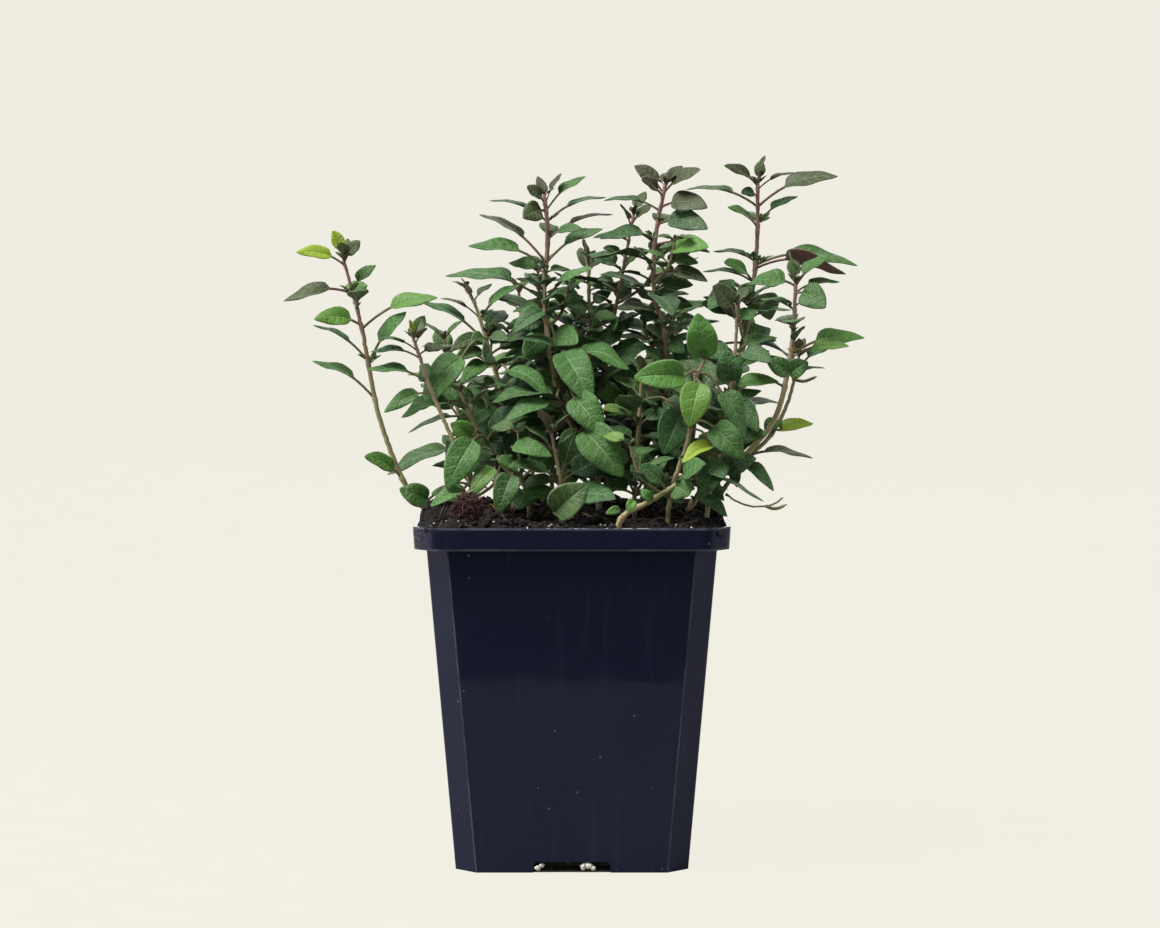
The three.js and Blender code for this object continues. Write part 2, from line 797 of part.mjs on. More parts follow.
function pairsByRule(stem, seed, leaves) {
  const random = seeded(seed);
  const curve = stemCurve(stem.path);
  const top = stem.path[stem.path.length - 1][2];
  const prominent = [...leaves];
  let z = top - 0.8;
  let azimuth = stem.turn;
  while (z > stem.first) {
    const below = top - z;
    const reach = Math.min(TOP_REACH + REACH_GROWTH * below, LONGEST_REACH);
    const base = stemPlace(curve, z);
    for (const side of [0, 180]) {
      const heading = azimuth + side + 24 * (random() - 0.5);
      const tilt = 48 - Math.min(below * 1.8, 76) + 20 * (random() - 0.5);
      const length = reach * (0.85 + 0.3 * random());
      const widthShare = 0.38 + 0.08 * random();
      const turn = 50 * (random() - 0.3);
      if (!isTaken(prominent, base, heading)) {
        const leaf = placeByRule(stem, base, heading, tilt, length, widthShare, turn);
        if (leaf) leaves.push(leaf);
      }
    }
    azimuth += 90;
    z -= TOP_INTERNODE + INTERNODE_GROWTH * below;
  }
}

function makeStem(stem, leaves) {
  const tube = stemTube(stem.path, stem.radius);
  const whole = leaves.reduce((solid, leaf) => solid.add(leafSolid(leaf)), tube);
  return meshOf(stem.name, whole, material(LEAF_GREEN, 0.6));
}

const plant = new THREE.Group();
plant.add(makePot(), makeSoil());
STEMS.forEach(placeStem);
const grown = STEMS.map((stem) => stem.leaves
  .map((row) => placeProminent(stem, row))
  .filter((leaf) => leaf !== null));
STEMS.forEach((stem, i) => {
  pairsByRule(stem, SEED + 97 * i, grown[i]);
  plant.add(makeStem(stem, grown[i]));
});

export default plant;
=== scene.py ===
"""A potted oregano plant: nursery pot, soil and leafy stems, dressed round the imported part.

The part's solids stay where they are. Each stem and its leaves are grown again here by the same
rules as the part's own, so that every fine leaf lies where its solid lies.
Lengths are millimetres until a mesh is written, +Z is up and the front is -Y.
"""

import itertools
import json
import math
from collections import namedtuple

import bmesh
import bpy
import numpy as np
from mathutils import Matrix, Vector

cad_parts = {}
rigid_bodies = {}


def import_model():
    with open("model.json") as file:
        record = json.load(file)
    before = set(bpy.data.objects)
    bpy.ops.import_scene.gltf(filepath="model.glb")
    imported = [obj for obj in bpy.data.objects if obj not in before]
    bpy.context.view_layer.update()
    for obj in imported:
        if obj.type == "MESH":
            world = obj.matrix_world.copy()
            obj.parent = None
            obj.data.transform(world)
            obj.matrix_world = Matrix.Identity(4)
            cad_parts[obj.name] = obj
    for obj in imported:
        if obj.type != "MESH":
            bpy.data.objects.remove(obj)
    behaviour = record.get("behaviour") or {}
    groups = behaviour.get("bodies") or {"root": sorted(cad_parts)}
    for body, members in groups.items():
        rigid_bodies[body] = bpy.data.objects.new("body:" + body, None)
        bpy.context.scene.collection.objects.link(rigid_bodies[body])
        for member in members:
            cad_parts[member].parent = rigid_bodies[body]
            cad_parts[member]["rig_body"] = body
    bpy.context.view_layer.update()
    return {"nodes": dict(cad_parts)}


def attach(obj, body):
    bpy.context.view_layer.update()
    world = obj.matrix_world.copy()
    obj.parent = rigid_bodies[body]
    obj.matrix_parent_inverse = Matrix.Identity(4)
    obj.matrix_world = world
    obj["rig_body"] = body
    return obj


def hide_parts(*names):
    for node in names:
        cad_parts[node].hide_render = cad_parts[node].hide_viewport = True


bl_info = {
    "name": "Potted oregano",
    "version": (1, 0, 0),
    "blender": (4, 5, 0),
    "location": "View3D > Sidebar > Oregano",
    "description": "Builds a leafy oregano plant with its pot and soil around the packed part",
    "category": "Object",
}

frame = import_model()

# The pot.
POT_HEIGHT = 100
RIM_WIDTH = 90
BAND_FOOT = 93.5
BAND_FOOT_WIDTH = 89.2
BODY_TOP_WIDTH = 82.4
BASE_WIDTH = 66.8
CHAMFER = 6
WALL = 1.1
FLOOR = 1.3
CHANNEL_WIDTH = 22
CHANNEL_HEIGHT = 3.1

# The root ball. Each mound is its place, height and spread.
GAP = 0.3
SOIL_LEVEL = 99.6
MOUNDS = [(-37, -24, 6.5, 8), (38, -20, 5, 8), (-24, -36, 3.5, 7), (0, 12, 3, 20)]

# Four sizes of noise on the soil: the width of a lattice cell, the depth and the seed.
CRUMBLE = [(7.0, 0.7, 1), (3.1, 0.8, 2), (1.5, 0.55, 3), (0.75, 0.3, 4)]

# How the part's own leaves grow. The lists are what a leaf tries in turn until it is clear.
PETIOLE_SHARE = 0.34
SMALL_BLADE = 4
CLEARANCE = 1.9
OWN_CLEARANCE = 1.2
SOIL_CLEARANCE = 1.6
RIM_CLEARANCE = 1.8
PLANT_DEPTH = 91.6
TOP_REACH = 8
REACH_GROWTH = 0.6
LONGEST_REACH = 24
TOP_INTERNODE = 6
INTERNODE_GROWTH = 0.2
SEED = 4021
HALVINGS = 40
RISES = [0, 2, -2, 4]
SHIFTS = [0, 3, -3, 6, -6, 9, -9, 12, -12, 15, -15]
TURNS = [0, 14, -14, 28, -28, 42, -42]
TILTS = [0, 14, -14, 28]
SIZES = [1, 0.78, 0.6]

# How the small inner leaves grow, which are here only: their clearances, the heights between which
# they begin, how far they may be from the part's own leaves, the height below which fewer stand,
# and the share of their length that they keep under each height.
INNER_TRIES = ([1, 0.75], [0, 16, -16], [0, 22, -22, 44, -44])
INNER_CLEARANCE = 1.05
INNER_OWN_CLEARANCE = 0.8
INNER_LOWEST, INNER_HIGHEST, INNER_BELOW_TOP = 103.5, 170, 15
INNER_NEAR = 6
THINNED_BELOW, THINNED = 142, 0.72
INNER_SIZES = [(138, 1), (152, 0.82), (math.inf, 0.66)]
INNER_SEED = 700

# How the side shoots grow: the same kind of numbers, and where their pairs of leaves stand.
SHOOT_LOWEST, SHOOT_BELOW_TOP = 107, 26
SHOOT_NEAR, SHOOT_LEAF_NEAR = 8, 7
SHOOT_DEPTH = 42
SHOOT_PAIRS = (0.98, 0.78, 0.56, 0.36)
SHOOT_RADIUS, BARE_RADIUS = 0.55, 0.46
SHOOT_SEED = 900

# The detail of a fine leaf. A row of parts is places across a blade, from one margin over the upper
# face; the lower face goes back the same way. Stations are places along the petiole.
FINE_ACROSS = [1, 0.86, 0.6, 0.3, 0.09, 0, -0.09, -0.3, -0.6, -0.86]
MIDDLE_ACROSS = [1, 0.78, 0.42, 0, -0.42, -0.78]
COARSE_ACROSS = [1, 0.6, 0, -0.6]
PETIOLE_STATIONS = np.array([0.0, 0.25, 0.5, 0.75, 0.94])
SIDE_VEINS = 5.5
STALK_SIDES = 10
STEM_SEED = 500
HAIR_FACES = ([0, 1, 3], [1, 2, 3], [2, 0, 3], [2, 1, 0])
STALK_SLOT, LEAF_SLOT, HAIR_SLOT = range(3)

# What lies on the soil: how many there are of each, and the clump's middle, reaches and arcs.
CRUMBS, FRONT_CRUMBS, GRAINS, FRONT_GRAINS = 900, 240, 60, 24
LOOSE_ROOTS, STRAWS = 150, 16
CLUMP_MIDDLE, CLUMP_REACHES, CLUMP_ARCS = (-29, -37.5, 102), (4.3, 2.8, 7.5), 640
LITTER_SEED = 77
CRUMB_SLOT, GRAIN_SLOT, ROOT_SLOT, MAT_SLOT, STRAW_SLOT = range(5)

# White bits in the opening at the pot's foot: x, y, z and size.
WHITE_BITS = np.array([
    (-9.8, -32.8, 1.3, 0.9), (-8.6, -32.8, 2.1, 0.95), (3.2, -32.8, 1.7, 1.1),
    (4.7, -32.9, 2.0, 1.2), (6.0, -32.8, 1.3, 0.9),
])

# Dust on the pot, coarse and fine: cells per metre, the share that has a speck, and its size.
DUST_KINDS = [(310, 0.02, 0.12), (620, 0.014, 0.2)]

# How far a leaf is bright, purple and olive.
TONES = {
    "dark": (0.0, 0.0, 0.0),
    "green": (0.25, 0.0, 0.0),
    "plain": (0.3, 0.0, 0.05),
    "bright": (0.65, 0.0, 0.0),
    "fresh": (0.72, 0.1, 0.35),
    "yellow": (1.0, 0.0, 0.1),
    "olive": (0.12, 0.42, 0.7),
    "purple": (0.0, 0.8, 0.5),
    "spotted": (0.3, 0.22, 0.3),
}

# Each stem: radius, the height where its pairs of leaves begin, their first azimuth, how its stalk
# is coloured (purple at the top, pale at the foot), its path from the root, and its prominent
# leaves as (height on the stem, tip x, tip y, tip z, blade width, turn of the upper face, tone).
Stem = namedtuple("Stem", "radius first azimuth tints path leaves")
STEMS = {
    "stem_left": Stem(0.9, 152, 90, (0.8, 0.55), [
        (-38, -22, 90), (-40, -22, 101), (-47, -23, 109), (-55, -24, 130), (-60, -24, 156),
        (-65, -24, 175),
    ], [
        (175, -68, -24, 183, 4, 70, "yellow"), (173, -78, -30, 177, 5, 50, "yellow"),
        (174, -60, -26, 180, 4.6, 70, "olive"), (166, -56, -18, 173, 4, 30, "plain"),
        # The leaf at 156 mm is bright partly as painted light, for the light that shines through
        # the thin blade.
        (165, -82, -26, 163, 5.5, 35, "olive"), (156, -73, -30, 158, 6, 60, "bright"),
        (155, -38, -26, 164, 6.5, 40, "bright"), (146, -74, -22, 156, 5, 5, "green"),
        (145, -47, -30, 160, 6, 50, "green"), (135, -74, -26, 146, 6, 20, "green"),
        (112, -59, -30, 119, 5.8, 60, "bright"),
    ]),
    "stem_left_inner": Stem(0.8, 140, 70, (0.7, 0.5), [
        (-27, -27, 90), (-28, -28, 108), (-34, -30, 124), (-40, -30, 138), (-43, -30, 147),
        (-45, -30, 153),
    ], [
        (151, -41, -34, 156, 3.5, 5, "olive"), (149, -55, -32, 153, 4, 5, "dark"),
        (147, -57, -34, 149, 4.5, 20, "dark"), (148, -36, -28, 150, 4, 40, "olive"),
        (152, -46, -35, 158, 4, 70, "yellow"), (140, -58, -34, 144, 4.5, 25, "green"),
        (137, -53, -36, 132, 5, 50, "plain"), (111, -48, -27, 108, 6, 50, "plain"),
        (110, -40, -37, 105, 6.5, 60, "plain"),
    ]),
    "stem_front_left": Stem(0.9, 114, 30, (0.3, 0.7), [
        (-12, -16, 90), (-13, -17, 108), (-20, -18, 116), (-27, -19, 126), (-32, -19, 137),
    ], [
        (132, -49, -26, 130, 6.5, 45, "green"), (129, -47, -20, 125, 3.5, 10, "dark"),
        (120, -36, -34, 111, 9, 60, "green"), (123, -42, -10, 140, 6, 20, "green"),
        (114, -23, -38, 105, 8, 60, "green"),
    ]),
    "stem_mid_left": Stem(0.9, 112, 80, (0.25, 0.9), [
        (-17, -4, 90), (-17, -4, 112), (-19, -5, 130), (-24, -5, 148), (-28, -5, 161),
        (-31, -5, 166),
    ], [
        (149, -44, -8, 162, 5, 20, "dark"), (157, -38, -8, 163, 3, 10, "purple"),
        (162, -32, -9, 169, 3.6, 30, "purple"), (148, -42, -24, 132, 9.5, 60, "green"),
        (151, -35, -14, 148, 5, 40, "olive"), (157, -15, -8, 167, 6, 30, "green"),
        (162, -23, -4, 167, 3.6, 20, "olive"), (144, -32, -20, 139, 5.5, 30, "plain"),
        (142, -9, -20, 134, 6.5, 40, "green"),
    ]),
    "stem_main": Stem(1.1, 116, 95, (0.9, 0.55), [
        (8, -6, 90), (7, -6, 112), (0, -5, 126), (-5, -5, 140), (-8, -5, 162), (-7, -5, 180),
        (-8, -5, 193),
    ], [
        (190, -13, -9, 195, 5, 60, "olive"), (188, -14, -10, 186, 6.5, 60, "olive"),
        (191, -10, -3, 198, 3, 10, "purple"), (190, -3, -3, 199, 3, 10, "purple"),
        (188, 4, -1, 198, 3, 20, "plain"), (185, 10, -5, 192, 4.5, 10, "dark"),
        (185, -24, -3, 191, 3.8, 5, "dark"), (180, 12, -3, 187, 3.6, 5, "purple"),
        (180, 3, -12, 183, 4, 45, "green"), (173, -27, -1, 187, 4.2, 10, "olive"),
        (172, -30, -9, 178, 7, 30, "green"), (173, 9, -9, 183, 6, 35, "dark"),
        (172, -18, -18, 164, 7, 55, "dark"), (162, -37, -5, 169, 5, 20, "dark"),
        (162, 6, -16, 172, 7, 30, "plain"), (157, -15, -18, 152, 7, 40, "dark"),
        (152, -21, -8, 150, 7, 30, "dark"), (148, 5, -26, 134, 9.5, 30, "plain"),
        (148, 17, -20, 144, 8, 40, "plain"), (138, 8, -31, 125, 9.5, 30, "plain"),
        (133, -20, -26, 129, 7, 45, "green"), (133, -24, -16, 134, 7, 30, "green"),
        (128, 15, -35, 114, 12, 30, "plain"), (123, -19, -28, 124, 7.5, 50, "green"),
    ]),
    "stem_centre_back": Stem(0.8, 114, 60, (0.9, 0.1), [
        (12, 8, 90), (11, 8, 112), (10, 8, 140), (12, 8, 155), (15, 8, 171), (18, 8, 187),
    ], [
        (184, 23, 4, 189, 5, 45, "olive"), (183, 14, 3, 190, 4, 30, "dark"),
        (179, 6, 6, 180, 5, 20, "dark"), (174, 9, 4, 177, 3.5, 50, "green"),
        (173, 23, 9, 176, 3.5, 50, "olive"), (163, 24, 4, 166, 4, 10, "dark"),
        (153, 0, 2, 155, 5, 20, "dark"), (153, 20, 4, 158, 6, 20, "dark"),
    ]),
    "stem_pale": Stem(0.9, 116, 20, (0.0, 1.0), [
        (5, 19, 90), (6, 19, 112), (6, 18, 140), (5, 18, 160), (5, 18, 174),
    ], [
        (171, 3, 13, 179, 6, 75, "olive"), (170, 9, 13, 174, 5, 60, "olive"),
        (166, -3, 13, 166, 5, 20, "green"), (164, 14, 15, 164, 5, 10, "dark"),
        (152, -6, 13, 156, 6, 10, "dark"), (152, 17, 15, 155, 6, 10, "dark"),
    ]),
    "stem_red": Stem(1.0, 112, 100, (1.0, 0.1), [
        (28, -3, 90), (28, -3, 112), (27, -2, 150), (24, -2, 163), (24, -2, 179), (27, -2, 196),
    ], [
        (193, 18, 0, 201, 5, 60, "purple"), (192, 20, -9, 197, 5, 60, "purple"),
        (194, 32, 0, 201, 4, 50, "olive"), (193, 37, -5, 200, 5.5, 50, "olive"),
        (188, 9, -2, 191, 5.2, 15, "dark"), (189, 39, -9, 189, 7.5, 50, "olive"),
        (184, 39, -12, 183, 7.5, 50, "dark"), (180, 8, -6, 180, 6, 35, "dark"),
        (178, 40, -5, 176, 5.5, 30, "purple"), (173, 39, -12, 178, 7, 50, "bright"),
        (169, 39, -13, 168, 5.5, 40, "olive"), (162, 34, -4, 164, 4.5, 20, "green"),
        (162, 14, 2, 166, 4, 0, "dark"), (157, 13, -12, 160, 7, 20, "olive"),
        (162, 8, -12, 170, 7.5, 20, "dark"), (151, 43, 0, 156, 6, 15, "plain"),
    ]),
    "stem_right": Stem(1.0, 126, 85, (0.8, 0.2), [
        (38, 6, 90), (39, 6, 110), (45, 5, 132), (50, 5, 150), (53, 5, 168), (54, 5, 182),
        (54, 5, 196),
    ], [
        (195, 44, 0, 201, 5, 45, "olive"), (196, 56, 3, 204, 5, 55, "olive"),
        (194, 65, 6, 199, 3.5, 10, "purple"), (192, 49, 0, 193, 3.6, 55, "dark"),
        (189, 77, 2, 198, 6, 35, "olive"), (189, 33, 8, 194, 4.5, 10, "dark"),
        (183, 45, -2, 189, 5, 40, "plain"), (184, 66, 9, 192, 4, 20, "plain"),
        (173, 41, 6, 176, 5.5, 10, "dark"), (172, 83, 0, 172, 5.2, 20, "plain"),
        (171, 79, -9, 170, 6, -40, "purple"), (167, 44, -4, 173, 6, 50, "bright"),
        (167, 38, 8, 170, 5, 10, "dark"), (163, 42, 0, 167, 4, 20, "dark"),
        (162, 58, 2, 166, 3.8, 15, "dark"), (156, 64, 4, 159, 5, 10, "plain"),
        (155, 38, 0, 163, 6, 30, "dark"),
    ]),
    "stem_right_bow": Stem(1.0, 150, 95, (1.0, 1.0), [
        (31, -22, 90), (34, -21, 104), (43, -20, 113), (52, -19, 121), (59, -18, 131),
        (63, -18, 150), (64, -18, 168),
    ], [
        (167, 51, -20, 168, 8, 35, "green"), (168, 62, -20, 177, 7, 40, "green"),
        (167, 74, -16, 176, 6, 20, "plain"), (165, 72, -26, 161, 8, 55, "green"),
        (165, 77, -14, 168, 4.5, 20, "green"), (160, 54, -13, 163, 5, 10, "green"),
        (147, 84, -16, 152, 6.5, 40, "bright"), (146, 79, -24, 150, 5, 40, "bright"),
        (149, 66, -26, 156, 4, 20, "dark"), (145, 56, -24, 148, 7, 55, "green"),
        (143, 68, -23, 145, 6, 45, "green"), (138, 48, -23, 138, 8, 45, "bright"),
        (117, 69, -24, 118, 4, 10, "olive"), (118, 57, -28, 109, 6, 25, "dark"),
        (116, 47, -27, 110, 4.5, 45, "dark"),
    ]),
    "stem_right_inner": Stem(0.8, 132, 80, (0.6, 0.3), [
        (38, -7, 90), (42, -6, 104), (51, -3, 116), (58, -1, 123), (63, 0, 133), (66, 0, 146),
    ], [
        (123, 70, -4, 126, 6, 45, "yellow"), (127, 56, -7, 124, 5, 20, "green"),
        (140, 74, 5, 142, 3.6, 5, "dark"), (141, 53, 4, 145, 5, 20, "green"),
        (141, 77, 8, 149, 5, 20, "dark"),
    ]),
    "stem_olive": Stem(0.8, 128, 60, (0.5, 0.6), [
        (38, -29, 90), (39, -29, 108), (43, -24, 124), (46, -21, 142), (47, -20, 154),
        (47, -20, 162),
    ], [
        (158, 40, -23, 167, 8, 65, "olive"), (156, 53, -18, 160, 6, 35, "green"),
        (148, 59, -15, 152, 6, 25, "green"), (147, 43, -21, 147, 5, 20, "green"),
        (142, 49, -27, 142, 9, 60, "dark"), (141, 57, -10, 148, 6, 30, "plain"),
        (134, 53, -29, 126, 7, 45, "green"),
    ]),
    "stem_front_right": Stem(0.8, 112, 10, (0.5, 0.7), [
        (27, -30, 90), (28, -30, 108), (33, -30, 124), (35, -30, 140), (38, -30, 147),
    ], [
        (147, 33, -34, 160, 9, 72, "bright"), (143, 18, -38, 142, 9.5, 68, "bright"),
        (140, 35, -40, 128, 9, 62, "bright"), (143, 49, -33, 130, 7, 50, "green"),
        (128, 49, -38, 118, 9, 60, "green"), (127, 31, -38, 118, 6, 70, "yellow"),
        (118, 37, -38, 105, 6, 70, "dark"),
    ]),
    "stem_runner": Stem(1.0, 110, 0, (0.0, 1.0), [
        (12, -37, 90), (14, -38, 102), (22, -37, 107), (30, -37, 112),
    ], [
        (110, 19, -41, 117, 6.5, 60, "dark"), (111, 33, -42, 109, 8, 60, "green"),
        (112, 37, -36, 118, 7, 60, "green"), (105, 13, -43, 107, 4.5, 60, "bright"),
    ]),
    "stem_back_left": Stem(0.8, 112, 15, (0.6, 0.4), [
        (-30, 14, 90), (-30, 15, 110), (-34, 18, 130), (-38, 20, 150),
    ], []),
    "stem_back_middle": Stem(0.8, 114, 50, (0.6, 0.5), [
        (-12, 28, 90), (-12, 29, 112), (-14, 33, 140), (-16, 36, 163),
    ], []),
    "stem_back_right": Stem(0.8, 114, 35, (0.8, 0.3), [
        (24, 29, 90), (24, 30, 112), (28, 34, 140), (31, 37, 168),
    ], []),
    "stem_side_right": Stem(0.8, 114, 75, (0.6, 0.4), [
        (39, 20, 90), (40, 20, 110), (46, 23, 130), (52, 25, 150),
    ], []),
    "stem_centre": Stem(0.8, 112, 25, (0.7, 0.4), [
        (-6, 7, 90), (-6, 8, 110), (-8, 10, 140), (-10, 12, 170),
    ], []),
    "stem_front": Stem(0.8, 108, 40, (0.3, 0.4), [
        (-3, -27, 90), (-3, -27, 106), (-4, -27, 116), (-6, -28, 126),
    ], [
        (111, 4, -41, 103, 9.5, 60, "olive"),
    ]),
    "stem_front_middle": Stem(0.8, 112, 65, (0.4, 0.4), [
        (18, -17, 90), (18, -17, 106), (19, -18, 124), (20, -19, 142),
    ], [
        # The first leaf's dark tone is partly painted shade: it stands in the shadow of the leaves
        # in front of it.
        (134, 28, -28, 119, 10, 45, "dark"), (119, 18, -34, 107, 7, 60, "dark"),
        (124, 34, -25, 116, 5.6, 20, "dark"),
    ]),
}

# Leaves that face the front, with a blade of their own shape: which prominent leaf of the stem it
# is (None where there is no such leaf), the height on the stem where its petiole begins, the
# blade's foot and tip, the width that shows from the front, and its tone.
SHOWN = {
    "stem_left_inner": [
        (7, 111, (-41, -28, 106.5), (-49, -31, 110), 6.8, "plain"),
        (8, 110, (-31, -34, 109.5), (-40, -37, 105.5), 4.4, "plain"),
    ],
    "stem_front_left": [
        (0, 132, (-35, -24, 134), (-48.5, -28, 130), 5, "green"),
        (2, 120, (-28, -30, 124), (-35.5, -36, 110.5), 9.3, "green"),
        (4, 114, (-17, -34, 114.5), (-21, -38, 103.5), 7.2, "green"),
        (None, 116, (-22, -32, 116), (-29, -37, 108.2), 5.2, "fresh"),
        (None, 124, (-28.5, -26, 124.5), (-34.5, -30, 128.5), 5.7, "bright"),
    ],
    "stem_mid_left": [
        (3, 148, (-31.5, -22, 147), (-43, -26, 132), 8, "green"),
        (8, 142, (-18.5, -14, 142.5), (-6.5, -22, 135.5), 4.8, "green"),
    ],
    "stem_main": [
        (12, 172, (-8, -12, 159.5), (-17, -16, 153.5), 5.2, "dark"),
        (15, 157, (-4, -12, 148.5), (-14.5, -16, 152), 4, "dark"),
        (17, 148, (-2.5, -14, 148), (5.5, -24, 133.5), 10, "plain"),
        (18, 148, (1, -10, 147.5), (16.5, -18, 143), 5.6, "plain"),
        (19, 138, (0.5, -22, 135.5), (9, -28, 125.5), 9.2, "plain"),
        (20, 133, (-4.5, -18, 135), (-23, -24, 134), 5.6, "green"),
        (22, 128, (3.5, -26, 126.5), (14.5, -32, 113.5), 11.4, "plain"),
        (23, 123, (-7, -24, 133.5), (-19.5, -27, 129), 5.6, "green"),
    ],
    "stem_front": [
        (0, 111, (-5, -37, 103.5), (4.5, -40, 112), 9.8, "spotted"),
        (None, 120, (-17, -32, 122), (-5.5, -35, 119.5), 5.6, "green"),
    ],
    "stem_front_middle": [
        # This leaf's dark tone is partly painted shade, for the shadow of the leaves in front of
        # it.
        (0, 134, (31.5, -24, 131.5), (26, -28, 119.5), 9.9, "dark"),
        (1, 119, (18.5, -26, 117.5), (23, -30, 110), 6.5, "dark"),
    ],
    "stem_front_right": [
        (0, 147, (37.5, -30, 147), (35.5, -33, 160), 9, "bright"),
        (1, 143, (32, -32, 142), (17.5, -36, 142), 8.7, "bright"),
        (2, 140, (36, -34, 140.5), (33, -38, 128), 9, "bright"),
        (3, 143, (42.5, -31, 137.5), (49, -33, 124.5), 5.9, "green"),
        (4, 128, (40, -34, 128), (48.5, -38, 119), 8.4, "green"),
        (5, 127, (40, -34, 122.5), (31, -38, 118), 4.2, "yellow"),
        (6, 118, (43, -34, 118), (35.5, -38, 107.5), 6.8, "dark"),
    ],
    "stem_olive": [
        (4, 142, (45, -24, 140), (44, -26, 149), 7.6, "dark"),
    ],
    "stem_right_bow": [
        (9, 145, (62, -22, 142.5), (55.5, -24, 146), 5.7, "green"),
        (10, 143, (62, -20, 142), (67.5, -22, 145.5), 5.7, "green"),
        (11, 138, (47.5, -22, 138.5), (59, -23, 140), 4.8, "bright"),
        (13, 118, (49.5, -26, 116), (57.5, -28, 109), 4, "dark"),
        (None, 105, (37, -32, 107.5), (44, -36, 102.5), 3.8, "dark"),
    ],
    "stem_right_inner": [
        (0, 123, (60, -4, 124.5), (70, -4, 126.5), 4.4, "yellow"),
    ],
    "stem_runner": [
        (3, 105, (17.5, -40, 107.5), (15.5, -42, 104.5), 2.9, "bright"),
        (None, 102, (13.5, -40, 105), (9.5, -42, 104), 2.6, "bright"),
        (None, 108, (22.5, -38, 107.5), (19.5, -38, 110.5), 3.1, "bright"),
    ],
}

# Bare brown shoots without leaves.
BARE_SHOOTS = {
    "stem_right_bow": [
        [
            (44, -27, 108), (47, -30, 106.2), (51, -31, 105), (55, -31, 105), (58, -31, 106),
            (60, -31, 107.6),
        ],
        [(55, -31, 105), (57, -31.5, 104.4), (58.6, -32, 104.6), (61, -32, 105.6)],
        [(63, -18.5, 140.4), (66.5, -19, 139.8), (70, -20, 141.2)],
    ],
}

# How densely the small leaves inside the plant stand on each stem that has them.
FILLED = {
    "stem_left_inner": 0.35, "stem_front_left": 1, "stem_mid_left": 1, "stem_main": 1,
    "stem_centre_back": 0.85, "stem_pale": 0.85, "stem_red": 0.8, "stem_olive": 0.5,
    "stem_front_right": 0.45, "stem_back_left": 0.8, "stem_back_middle": 1, "stem_back_right": 1,
    "stem_side_right": 0.6, "stem_centre": 1, "stem_front": 1, "stem_front_middle": 1,
    "stem_right": 0.4,
}


# Where everything grows.


def soil_height(x, y):
    """The soil's top: a gentle wave of sine times cosine, and a bell curve for each mound."""
    z = SOIL_LEVEL + 0.5 * np.sin(x * 0.31) * np.cos(y * 0.27)
    for mound_x, mound_y, height, spread in MOUNDS:
        z = z + height * np.exp(-((x - mound_x) ** 2 + (y - mound_y) ** 2) / (2 * spread**2))
    return z


def curve_points(path, t):
    """Catmull-Rom spline: between each two points a cubic whose slope at a point is half the step
    from the point before to the point after. t runs from 0 to 1 over the whole path."""
    p = np.asarray(path, float)
    p = np.vstack([2 * p[0] - p[1], p, 2 * p[-1] - p[-2]])
    place = np.atleast_1d(np.asarray(t, float)) * (len(path) - 1)
    i = np.minimum(np.floor(place).astype(int), len(path) - 2)
    w = (place - i)[:, None]
    x0, x1, x2, x3 = p[i], p[i + 1], p[i + 2], p[i + 3]
    t0, t1 = 0.5 * (x2 - x0), 0.5 * (x3 - x1)
    square = -3 * x1 + 3 * x2 - 2 * t0 - t1
    cube = 2 * x1 - 2 * x2 + t0 + t1
    return x1 + t0 * w + square * w**2 + cube * w**3


def curve_length(path):
    """The sum of 200 straight steps along the curve."""
    chain = curve_points(path, np.arange(201) / 200)
    return np.linalg.norm(np.diff(chain, axis=0), axis=1).sum()


def stem_place(path, z):
    """The share of the path at which it reaches height z, found by halving."""
    low, high = 0.0, 1.0
    for _ in range(HALVINGS):
        middle = (low + high) / 2
        if curve_points(path, middle)[0, 2] < z:
            low = middle
        else:
            high = middle
    return low


def on_stem(name, z):
    """The point of a stem's path at height z."""
    path = STEMS[name].path
    return curve_points(path, stem_place(path, z))[0]


def seeded(seed):
    """Random numbers that are the same each time: state times 16807, modulo 2147483647."""
    state = seed
    while True:
        state = state * 16807 % 2147483647
        yield state / 2147483647


def unit(v):
    """Vectors over their lengths."""
    return v / np.maximum(np.linalg.norm(v, axis=-1, keepdims=True), 1e-12)


